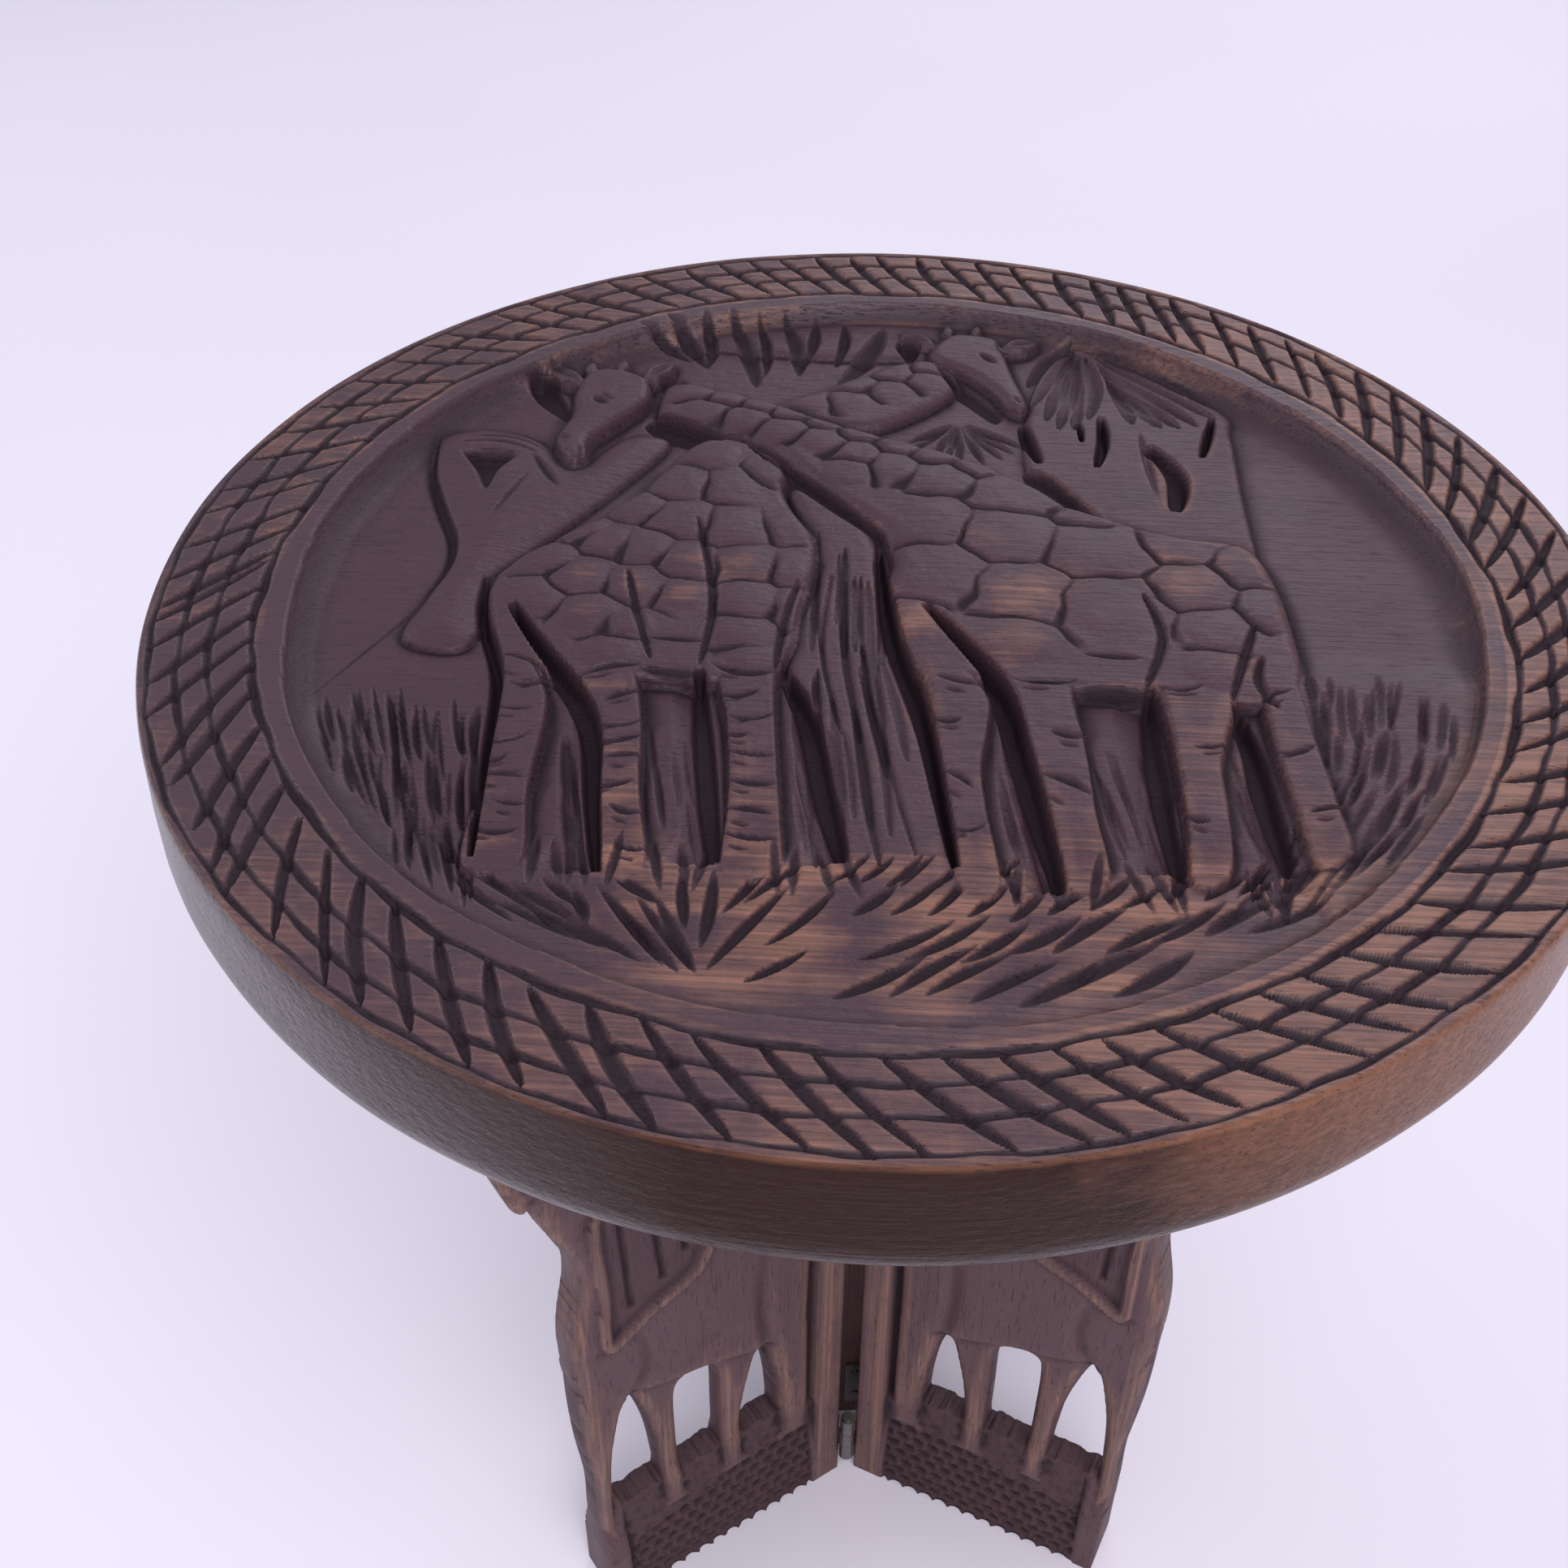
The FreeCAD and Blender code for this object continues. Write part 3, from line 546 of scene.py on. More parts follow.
def leg_cuts(c, leg, often, rubbed):
    """Short cuts across a leg, with rubbed patches between them."""
    p = smooth_loop(leg)
    foot = p[:, 1].min()
    y = BELLY + rng.uniform(-3, 3)
    while y > foot + 12:
        row = p[np.abs(p[:, 1] - y) < 5]
        left, right = row[:, 0].min(), row[:, 0].max()
        size = right - left
        reach = rng.uniform(0.45, 0.95)
        x0 = left + size * (1 - reach) * rng.integers(0, 2)
        tilt = rng.normal(0, 1.6)
        c.gouge((x0, y + tilt), (x0 + size * reach, y - tilt), rng.uniform(1.8, 3.4), 1.2,
                bend=rng.choice([-0.15, -0.06, 0.10]), dark=0.85)
        c.gouge((x0 + size * 0.1, y - 4), (x0 + size * 0.45, y - 4.5 - tilt), 1.8, 0.7, dark=0.55)
        gap = rng.uniform(6.5, 13.5) * often
        i = c.near([(left, y - gap), (right, y)], 0)
        q = ((c.x[i] - (left + right) / 2) / (size * 0.5))**2 + ((c.y[i] - y + gap / 2) / (gap * 0.5))**2
        c.tile[i] = np.maximum(c.tile[i], unit(1.2 - q) * rubbed * max(0, rng.uniform(-0.5, 1.0)))
        y -= gap


def ear(c, a, b, width, rise, hollow=True):
    """A leaf-shaped ear or a small horn."""
    a, b = np.array(a, float), np.array(b, float)
    way = b - a
    side = np.array([-way[1], way[0]]) / np.linalg.norm(way) * width / 2
    c.form([a - way * 0.15, a + way * 0.3 + side, a + way * 0.7 + side * 0.8, b, a + way * 0.7 - side * 0.8,
            a + way * 0.3 - side], rise, edge=width * 0.35, stop_cut=0.5)
    if hollow:
        c.gouge(tuple(a + way * 0.1), tuple(a + way * 0.95), width * 0.5, 1.3, dark=0.55)


SHEAF = [
    (-106, -112, -88, -128), (-98, -121, -73, -138), (-92, -130, -68, -143), (-82, -131, -61, -145),
    (-80, -122, -68, -132), (-72, -125, -67, -138), (-66, -124, -47, -150), (-63, -120, -50, -129),
    (-56, -127, -40, -151), (-51, -127, -39, -152), (-46, -118, -43, -138), (-38, -116, -39, -144),
    (-23, -109, -35, -132), (-16, -111, -30, -128), (-19, -121, -37, -151), (-13, -142, -28, -154),
    (-8, -122, -24, -142), (-112, -104, -98, -122), (-104, -121, -84, -138), (-88, -124, -66, -138),
    (-76, -134, -52, -149), (-60, -132, -43, -152),
]
# Rows of strokes over the ground: lowest start, from, to, gap, length, slope, width
GROUND_ROWS = [
    (-158, -7, 66, 10.8, 27, 37, 4.6), (-144, -2, 92, 11.6, 25, 37, 4.4), (-130, -4, 104, 9.6, 17, 50, 3.6),
    (-120, -10, 34, 6.4, 15, 52, 2.6),
]


def carve_grass(c):
    """Grass at the left and right, a sheaf in the middle, and lens-shaped strokes over the ground."""
    def stroke(a, b, width, depth, bend, dark):
        if max(math.hypot(*a), math.hypot(*b)) < FIELD_RADIUS - 1:
            c.gouge(a, b, width, depth, bend=bend, dark=dark)

    for x0 in np.arange(-158, -104, 2.0):
        y = -46 - rng.uniform(0, 10) - max(0, -x0 - 146) * 1.2
        x = x0 + rng.normal(0, 0.8)
        lean = 0.18 + 0.26 * (-106 - x0) / 50
        while y > -110:
            long = rng.uniform(15, 34)
            end = (x + long * (lean + rng.normal(0, 0.05)), y - long)
            stroke((x, y), end, rng.uniform(1.7, 2.7), 1.6, rng.normal(-0.02, 0.02), 0.75)
            x, y = end[0] + rng.normal(0, 0.5), end[1] + rng.uniform(-3, 6)
    for x0 in np.arange(119, 164, 2.9):
        y = -24 - rng.uniform(0, 12) - max(0, x0 - 146) * 1.5
        x = x0 + rng.normal(0, 0.6)
        while y > -104:
            long = rng.uniform(14, 28)
            lean = -0.08 - 0.55 * max(0, -y - 40) / 60 - 0.004 * (x0 - 119) + rng.normal(0, 0.05)
            end = (x + long * lean, y - long)
            stroke((x, y), end, rng.uniform(2.0, 3.2), 1.2, rng.normal(0, 0.02), 0.42)
            x, y = end[0] + rng.normal(0, 0.5), end[1] + rng.uniform(-3, 6)
    for ax, ay, bx, by in SHEAF:
        stroke((ax, ay), (bx, by), rng.uniform(3.2, 4.4), 2.0, rng.normal(0.02, 0.02), 0.7)
    for y0, x0, x1, gap, long, slope, width in GROUND_ROWS:
        for x in np.arange(x0, x1, gap):
            t = math.radians(slope + rng.normal(0, 4))
            a = (x + rng.normal(0, 1), y0 + rng.normal(0, 1.2) + 0.0018 * x * x)
            size = long * rng.uniform(0.85, 1.15)
            b = polar(size, t, *a)
            stroke(a, b, width * rng.uniform(0.85, 1.15), 1.8, rng.choice([-0.03, 0.04]), 0.65)


BAND_WEAR = (
    [-180, -150, -120, -90, -60, -30, 0, 40, 90, 130, 180],
    [0.36, 0.36, 0.40, 0.50, 0.76, 0.78, 0.68, 0.60, 0.54, 0.46, 0.38],
)
FACE_SHINE = ([150, 166], [0.36, 0.52])
# The side's bare-wood share by direction round the rim: wear and painted light
SIDE_WEAR_AND_LIGHT = ([-180, -120, -90, -70, -40, 0, 60, 180], [0.26, 0.26, 0.24, 0.58, 0.95, 0.85, 0.5, 0.3])
SIDE_SHINE = ([-180, -150, -130, -100, 0, 60, 180], [0.5, 0.9, 0.6, 0.08, 0.08, 0.3, 0.5])


def start_height(x, y, r, turn):
    """The top before its carving: a sunk field, with banks of ground at the front and the right."""
    h = 0.35 * wobble(x, y, 90, 3)
    lip = 170 + 0.8 * np.sin(turn * 5 + 1) + 0.5 * np.sin(turn * 13)
    depth = unit((lip - r) / 11)
    h = h + (FIELD - 0.2) * roll_off(depth, 1.0)
    h += (0.25 * wobble(x, y, 26, 5) + 0.12 * wobble(x * 0.5, y, 6, 7)) * (r < 165)
    outside = r >= FIELD_RADIUS
    front = FIELD + 3.2 * ease((-y - 96 - 0.0005 * x * x) / 26) * ~outside - 20 * outside
    right = FIELD + 4.0 * ease((x - 102) / 12) * ease((-10 - y) / 26)
    right = right - 20 * (outside | (x < 102) | (y > -10))
    return np.maximum(np.maximum(h, front), right)


def face_marks(c, r, turn, shape):
    """How far the wood of the face is rubbed bare, with painted sheen on the far inner wall and painted
    highlights on sharp crests, and how far it lies in a hollow, which paints the cuts and recesses darker,
    partly as stain and partly as painted shade.
    """
    x, y = c.x, c.y
    grid = c.h.reshape(shape)
    proud = np.clip((grid - box_mean(grid, 8)) / 0.9, -1, 1).ravel()
    arris = unit((grid - box_mean(grid, 2)) / 0.22 - 0.15).ravel()
    inside = ease((166 - r) / 6)
    rim = unit(1 - np.abs(r - 167) / 4)
    side = ease((x * 0.5 - y + 70) / 240)
    edges = np.interp(y, [-50, 10], [0.12, 0.34])
    wear_and_light = 0.14 + 0.16 * side + edges * unit(proud) * (0.25 + 0.75 * side)
    wear_and_light -= 0.10 * ease((-60 - x) / 50)
    # the inner wall on the far side is made lighter: painted sheen
    wear_and_light += 0.22 * rim * side + 0.45 * rim * ease((y - 60) / 80) - 0.14 * inside * (y > 40)
    wear_and_light += 0.42 * c.tile * ease((70 - y) / 70)
    spots = np.clip(0.5 + 0.9 * wobble(x * 0.6, y, 16, 41), 0, 1.3)
    wear_and_light += 0.52 * spots * ease((-y - 96) / 20) * inside * ease((x + 90) / 60)
    wear_and_light += 0.16 * inside * ease((x - 36) / 30) * ease((y - 10) / 50)
    band = np.interp(np.degrees(turn), *BAND_WEAR)
    wear_and_light = np.where(r > 175, band + 0.10 * wobble(x, y, 14, 31), wear_and_light)
    wear_and_light = unit(wear_and_light) * (1 - c.cut)
    # sharp crests made lighter: edge wear with a painted highlight
    wear_and_light = unit(wear_and_light + np.interp(y, [-50, 10], [0.04, 0.14]) * arris)
    # hollow darkens the cuts, partly stain, and whatever lies below its surroundings, which is painted shade
    hollow = unit(c.cut + 0.5 * unit(-proud))
    return wear_and_light, hollow


def top_surface(n):
    gx, gy = disc_grid(n)
    face = TOP_RADIUS - 1.6
    x, y = (gx * face).ravel(), (gy * face).ravel()
    r, turn = np.hypot(x, y), np.arctan2(y, x)
    c = Carving(x, y, start_height(x, y, r, turn))
    carve_band(c, r, turn)
    carve_trees(c)
    carve_grass(c)
    carve_far_head(c)
    carve_bodies(c)
    carve_near_head(c)
    carve_between_legs(c)
    # torn fibres left in the cuts
    c.h += 0.28 * c.cut * wobble(x, 0.3 * y, 2.6, 51) * (r < 204)
    c.h = np.clip(c.h, DEEPEST, -0.05)
    return gx.shape, x, y, c.h, *face_marks(c, r, turn, gx.shape)


def add_object(name, data):
    obj = bpy.data.objects.new(name, data)
    bpy.context.scene.collection.objects.link(obj)
    return obj


def add_mesh(name, verts, quads, attributes, material, cap=None):
    """A mesh from arrays in metres, with one optional flat cap."""
    mesh = bpy.data.meshes.new(name)
    mesh.vertices.add(len(verts))
    mesh.vertices.foreach_set("co", np.asarray(verts, np.float32).ravel())
    corners = np.asarray(quads, np.int32).ravel()
    starts = np.arange(0, len(corners), 4, dtype=np.int32)
    if cap is not None:
        starts = np.append(starts, np.int32(len(corners)))
        corners = np.concatenate([corners, np.asarray(cap, np.int32)])
    mesh.loops.add(len(corners))
    mesh.loops.foreach_set("vertex_index", corners)
    mesh.polygons.add(len(starts))
    mesh.polygons.foreach_set("loop_start", starts)
    mesh.polygons.foreach_set("use_smooth", np.ones(len(starts), bool))
    mesh.update(calc_edges=True)
    for key, values in attributes.items():
        layer = mesh.attributes.new(key, "FLOAT", "POINT")
        layer.data.foreach_set("value", np.asarray(values, np.float32))
    mesh.materials.append(material)
    return add_object(name, mesh)


def side_profile():
    """Radius and height down the top's side: an eased edge, a near straight wall and a round below."""
    bulge = 20.2
    low = bulge - TOP_THICKNESS
    wall = ((1.1, -0.3), (0.7, -1.0), (0.45, -2.4), (0.25, -6.0), (0.1, -11.0), (0, -18.0), (0, low))
    profile = [(TOP_RADIUS - inset, z) for inset, z in wall]
    steps = 10
    for k in range(1, steps + 1):
        a = math.pi / 2 * k / steps
        profile.append((TOP_RADIUS - bulge + bulge * math.cos(a), low - bulge * math.sin(a)))
    profile.append((TOP_RADIUS - bulge - 25, -TOP_THICKNESS))
    return profile


def make_top(face_wood, side_wood, n):
    """The carved face on a grid, with rings of points down the side and a flat underside."""
    shape, x, y, h, wear_and_light, hollow = top_surface(n)
    index = np.arange(shape[0] * shape[1]).reshape(shape)
    quads = np.stack([index[:-1, :-1], index[:-1, 1:], index[1:, 1:], index[1:, :-1]], -1).reshape(-1, 4)
    edge = np.concatenate([index[0, :-1], index[:-1, -1], index[-1, :0:-1], index[:0:-1, 0]])
    turn = np.arctan2(y[edge], x[edge])
    angle = np.degrees(turn)
    layers = [(x, y, h, wear_and_light, hollow, np.interp(np.hypot(x, y), *FACE_SHINE))]
    rings = [edge]
    profile = side_profile()
    for k, (radius, z) in enumerate(profile):
        ripple = 0.15 * np.sin(turn * 7 + z * 0.2) + 0.1 * np.sin(turn * 17 + 1.3) - 0.27
        out = radius + ripple * (k < len(profile) - 2)
        # partly wear, partly painted light: lighter on the right and darker at the front, lighter along the
        # top edge and darker towards the bottom
        rubbed = np.interp(angle, *SIDE_WEAR_AND_LIGHT) + 0.05 * np.sin(turn * 11) + 0.30 * (z > -2) - 0.004 * abs(z)
        layers.append((
            out * np.cos(turn), out * np.sin(turn), np.full(len(edge), float(z)), unit(rubbed),
            # the rounded lower edge and the underside get painted shade
            np.full(len(edge), 0.0 if k < 14 else 0.35), np.interp(angle, *SIDE_SHINE),
        ))
        rings.append(len(x) + k * len(edge) + np.arange(len(edge)))
    for above, ring in zip(rings, rings[1:]):
        quads = np.concatenate([quads, np.stack([above, ring, np.roll(ring, -1), np.roll(above, -1)], -1)])
    x, y, h, wear_and_light, hollow, shine = (np.concatenate(part) for part in zip(*layers))
    ct, st = math.cos(TOP_TURN), math.sin(TOP_TURN)
    verts = np.stack([x * ct - y * st, x * st + y * ct, RIM_HEIGHT + h], -1) * MM
    marks = {"wear_and_light": wear_and_light, "hollow": hollow, "shine": shine}
    obj = add_mesh("carved_top", verts, quads, marks, face_wood, cap=rings[-1][::-1])
    obj.data.materials.append(side_wood)
    on_side = np.arange(len(obj.data.polygons)) >= n * n + len(edge)
    obj.data.polygons.foreach_set("material_index", on_side.astype(np.int32))
    return obj


# The elephant panels, as (distance from the middle, height) on the plank

HALF_PLANK = 11.9
POST_IN, POST_OUT = 11, 22
POST_GROOVE = 24
RAIL_LOW = PANEL_HEIGHT - 22
PLINTH_BORDER = 9
CORNERS = ((0, 0), (0, 1), (1, 1), (1, 0))
ELEPHANT = [
    (25, 128), (23, 180), (27, 236), (46, 274), (76, 290), (102, 300), (124, 306), (139, 296),
    (142, 275), (134, 250), (127, 230), (126, 214), (131, 184), (130, 150), (120, 134), (108, 135),
    (92, 130), (78, 127), (60, 120), (46, 115), (34, 115),
]
EAR = [(121, 254), (120, 212), (119, 177), (98, 186), (75, 199), (71, 230), (84, 262), (106, 268)]
TRUNK = [
    (124, 304), (132, 282), (142, 272), (150, 298), (160, 338), (167, 376), (165, 402), (152, 402),
    (153, 376), (146, 344), (137, 318),
]
INNER_LEG = [
    (24, 48), (24, 117), (24, 182), (34, 206), (47, 184), (50, 147), (45, 109), (41, 75), (40, 47), (32, 42),
]
OUTER_LEG = [
    (118, 47), (119, 85), (116, 113), (109, 135), (102, 156), (106, 176), (119, 176), (130, 172), (131, 147),
    (130, 115), (127, 81), (127, 52), (123, 42),
]
EAR_FOLDS = [((110, 262), (107, 194)), ((98, 264), (93, 201)), ((86, 258), (83, 210))]
LEG_PLATE = [(16.5, 40), (16.5, 142), (131, 152), (130, 118), (127, 84), (127, 40)]
GROUND = [(16.5, 130), (16.5, 413), (156, 413), (156, 369), (139, 290), (131, 256), (124, 222), (122, 150)]
ARCHES = [
    [(40, 48), (40, 73), (43, 97), (48, 113), (53, 97), (57, 73), (57, 48), (48, 44)],
    [(69, 48), (68, 85), (69, 115), (78, 123), (87, 120), (88, 89), (86, 48), (78, 44)],
    [(97, 48), (98, 81), (102, 109), (110, 133), (116, 113), (119, 87), (119, 48), (108, 44)],
]


def stretch(points, reach):
    """Fit an outline, drawn for a plank of the drawn height, to this one."""
    return [(s * reach, z * RISE) for s, z in points]


def rectangle(s, z, s0, s1, z0, z1):
    """Distance to a rectangle, negative inside it."""
    return np.maximum(np.maximum(s0 - s, s - s1), np.maximum(z0 - z, z - z1))


class Panel:
    """Half thickness of a pierced plank, and the distance to its outline."""

    def __init__(self, reach):
        self.reach = reach
        self.loops = {
            "body": smooth_loop(stretch(ELEPHANT, reach)),
            "ear": smooth_loop(stretch(EAR, reach)),
            "trunk": smooth_loop(stretch(TRUNK, 1 + (reach - 1) / 2)),
            "inner_leg": smooth_loop(stretch(INNER_LEG, reach)),
            "outer_leg": smooth_loop(stretch(OUTER_LEG, reach)),
            "legs": np.array(stretch(LEG_PLATE, reach)),
            "ground": np.array([(s * (reach if 20 < s and z < 300 else 1), z * RISE) for s, z in GROUND]),
        }
        self.arches = [smooth_loop(stretch(a, reach)) for a in ARCHES]
        self.foot = POST_IN + 114 * reach

    def distances(self, s, z):
        d = {k: signed_distance(s, z, loop) for k, loop in self.loops.items()}
        hole = nearest_loop(s, z, self.arches)
        for key in ("legs", "body", "ground", "inner_leg", "outer_leg"):
            d[key] = np.maximum(d[key], -hole)
        d["post"] = rectangle(s, z, POST_IN, POST_OUT, 0, PANEL_HEIGHT)
        d["rail"] = rectangle(s, z, POST_IN, 166, RAIL_LOW, PANEL_HEIGHT)
        crest = 59.0 + 0.9 * np.sin(s * 0.42 + 1) * np.sin(s * 0.17) - 0.5 * np.sin(s * 0.9)
        d["plinth"] = rectangle(s, z, POST_IN, self.foot, 0, crest)
        d["outline"] = np.minimum.reduce(list(d.values()))
        d["hole"] = hole
        return d

    def half_thickness(self, s, z):
        d = self.distances(s, z)
        slack = 0.3

        def lay(t, key, value):
            return np.where(d[key] < slack, np.maximum(t, value), t)

        t = np.full(s.shape, 0.5)
        t = lay(t, "ground", 5.0 + 0.3 * wobble(s, z, 16, 6))
        open_by = d["hole"] + 0.2
        foot = 1.6 * ease((68 - z) / 10)
        t = lay(t, "legs", 1.0 + 5.6 * roll_off(np.minimum(0.2 - d["legs"], open_by), 5.5) + foot)
        body = 4.2 + 5.9 * roll_off(np.minimum(0.2 - d["body"], open_by), 9.0)
        t = lay(t, "body", body + 0.25 * wobble(s, z, 30, 9))
        for key in ("inner_leg", "outer_leg"):
            t = lay(t, key, 1.6 + 8.2 * roll_off(np.minimum(0.2 - d[key], open_by), 7.0))
            fold = np.exp(-(d[key] / 3.2)**2) * (z > 60) * (d["body"] < 0) * ease((205 - z) / 70)
            t = t - 1.7 * fold
        t = lay(t, "trunk", 5.0 + 4.2 * roll_off(0.2 - d["trunk"], 5.0) - 0.5 * (np.sin(z * 0.9) > 0.75))
        flap = 9.6 + 2.3 * ease((d["ear"] + 5.2) / 2.2)
        for (s0, z0), (s1, z1) in EAR_FOLDS:
            z0, z1 = z0 * RISE, z1 * RISE
            f = unit((z0 - z) / (z0 - z1))
            off = np.abs(s / self.reach - s0 - (s1 - s0) * f)
            flap = np.where((off < 1.7) & (z < z0) & (z > z1), np.minimum(flap, 7.4 + 1.2 * off), flap)
        t = np.where(d["ear"] < slack, flap, t)
        t = lay(t, "post", HALF_PLANK - 0.5 * (np.minimum(-d["post"], 1.0) < 0.5))
        t = lay(t, "rail", HALF_PLANK)
        shoulder = np.where(s > self.foot - PLINTH_BORDER, 34, 15)
        slope = HALF_PLANK + (5.4 - HALF_PLANK) * unit((z - shoulder) / (60 - shoulder))
        earth = slope - self.chips(s, z)
        d["earth"] = np.where((d["plinth"] < slack) & (earth > t), 1.0, 0.0)
        t = lay(t, "plinth", earth)
        groove = (np.abs(s - 23.6) < 1.7) & (z > 58) & (z < RAIL_LOW)
        t = np.where(groove, np.minimum(t, 4.4), t)
        return t, d

    def chips(self, s, z):
        """Rows of small thumbnail cuts on the plinth's slopes, between plain borders."""
        wide, high, offset = 6.8, 5.4, 1.4
        row = np.floor((z + offset) / high)
        a = (s + (row % 2) * (wide / 2)) / wide
        ds = (a - np.floor(a) - 0.5) * wide
        dz = z + offset - (row + 0.5) * high
        dent = unit(1 - (ds / 3.3)**2 - (dz / 2.7)**2)
        border = self.foot - PLINTH_BORDER
        above = z > 50 - 0.16 * s
        plain = (s < POST_GROOVE) | (s > border) | above
        edge = (np.abs(s - border) < 0.9) & (z < 58)
        rough = (0.7 + 0.9 * wobble(s, z, 10, 13) + 0.5 * wobble(s, z, 4.5, 14)) * above
        return np.where(plain, rough * (s > POST_GROOVE), 2.0 * np.sqrt(dent)) + 0.8 * edge


def make_panel(name, azimuth, reach, material, pitch):
    """Both faces of a plank on a grid, with walls round its outline and its openings."""
    p = Panel(reach)
    width = 160
    cols = int(round(width / pitch)) + 1
    rows = int(round(PANEL_HEIGHT / pitch)) + 1
    s, z = np.meshgrid(POST_IN + np.arange(cols) * width / (cols - 1), np.linspace(0, PANEL_HEIGHT, rows))
    # grid points near the outline are moved onto it
    d = p.distances(s, z)["outline"]
    gz, gs = np.gradient(d, z[1, 0] - z[0, 0], s[0, 1] - s[0, 0])
    size = np.hypot(gs, gz) + 1e-9
    loose = (d > 0) & (d < 0.75 * pitch) | (d > -0.3 * pitch) & (d < 0)
    s = np.where(loose, np.clip(s - d * gs / size, POST_IN, None), s)
    z = np.where(loose, np.clip(z - d * gz / size, 0, PANEL_HEIGHT), z)
    kept = d < 0.75 * pitch
    cell = kept[:-1, :-1] & kept[1:, :-1] & kept[:-1, 1:] & kept[1:, 1:]
    t, d = p.half_thickness(s, z)
    earth = d["earth"] * (s > POST_GROOVE)
    # painted shade in the recesses, on the plinth's top between the feet and inside the ear; the plinth's top
    # is also kept from looking worn, which darkens it as shade
    hollow = unit((box_mean(t, 4) - t) / 1.6)
    hollow = hollow + 0.42 * earth * (s < p.foot - PLINTH_BORDER) + 0.30 * ease((-d["ear"] - 4) / 4)
    proud = unit((t - box_mean(t, 5)) / 1.8)
    wear_and_light = unit(0.25 + 0.6 * proud + 0.3 * (s < POST_OUT)) * (1 - 0.8 * earth)
    index = np.full(s.shape, -1)
    used = np.zeros(s.shape, bool)
    for dr, dc in CORNERS:
        used[dr:rows - 1 + dr, dc:cols - 1 + dc] |= cell
    count = int(used.sum())
    index[used] = np.arange(count)
    r, c = np.nonzero(cell)
    front = np.stack([index[r + dr, c + dc] for dr, dc in CORNERS], -1)
    quads = [front, front[:, [0, 3, 2, 1]] + count]
    pad_cell = np.pad(cell, 1)
    for k, (dr, dc) in enumerate(((-1, 0), (0, 1), (1, 0), (0, -1))):
        open_side = cell & ~pad_cell[1 + dr:rows + dr, 1 + dc:cols + dc]
        r, c = np.nonzero(open_side)
        v1, v2 = (index[r + er, c + ec] for er, ec in (CORNERS[k], CORNERS[(k + 1) % 4]))
        quads.append(np.stack([v1, v1 + count, v2 + count, v2], -1))
    flat = np.concatenate([-t[used], t[used]])
    both_s, both_z = np.tile(s[used], 2), np.tile(z[used], 2)
    ca, sa = polar(1, math.radians(azimuth))
    verts = np.stack([both_s * ca - flat * sa, both_s * sa + flat * ca, both_z], -1) * MM
    marks = {
        "wear_and_light": np.tile(wear_and_light[used], 2),
        "hollow": np.tile(unit(hollow[used]), 2),
        "shine": np.full(2 * count, 0.4),
    }
    return add_mesh(name, verts, np.concatenate(quads), marks, material)


# Materials

class Nodes:
    """Short names for building a shader."""

    def __init__(self, name):
        self.material = bpy.data.materials.new(name)
        self.material.use_nodes = True
        self.tree = self.material.node_tree
        self.shader = self.tree.nodes["Principled BSDF"]

    def add(self, kind, inputs=None, **settings):
        node = self.tree.nodes.new(kind)
        for key, value in settings.items():
            setattr(node, key, value)
        for key, value in (inputs or {}).items():
            self.put(node.inputs[key], value)
        return node

    def put(self, socket, value):
        if isinstance(value, bpy.types.NodeSocket):
            self.tree.links.new(value, socket)
        else:
            socket.default_value = value

    def give(self, name, value):
        """Set or drive one of the surface's own inputs."""
        self.put(self.shader.inputs[name], value)

    def mix(self, factor, a, b):
        node = self.add("ShaderNodeMix", data_type="RGBA")
        for key, value in (("Factor_Float", factor), ("A_Color", a), ("B_Color", b)):
            self.put([s for s in node.inputs if s.identifier == key][0], value)
        return [s for s in node.outputs if s.identifier == "Result_Color"][0]

    def math(self, operation, a, b):
        return self.add("ShaderNodeMath", {0: a, 1: b}, operation=operation).outputs[0]

    def plus(self, a, b):
        return self.math("ADD", a, b)

    def minus(self, a, b):
        return self.math("SUBTRACT", a, b)

    def times(self, a, b):
        return self.math("MULTIPLY", a, b)

    def noise(self, vector, scale, detail, rough):
        inputs = {"Vector": vector, "Scale": scale, "Detail": detail, "Roughness": rough}
        return self.add("ShaderNodeTexNoise", inputs).outputs[0]

    def ramp(self, value, low, high):
        inputs = {"Value": value, "From Min": low, "From Max": high}
        return self.add("ShaderNodeMapRange", inputs).outputs[0]

    def mark(self, name):
        """A value stored on the mesh's points."""
        return self.add("ShaderNodeAttribute", attribute_name=name).outputs["Fac"]

    def place(self, turn=0.0, stretch=(1.0, 1.0, 1.0)):
        """Object coordinates, turned about the upright and then stretched."""
        where = self.add("ShaderNodeTexCoord").outputs["Object"]
        spun = self.add("ShaderNodeMapping", {"Vector": where, "Rotation": (0, 0, turn)}).outputs[0]
        return self.add("ShaderNodeMapping", {"Vector": spun, "Scale": stretch}).outputs[0]


def shade(colour, part):
    return tuple(part * v for v in colour[:3]) + (1,)


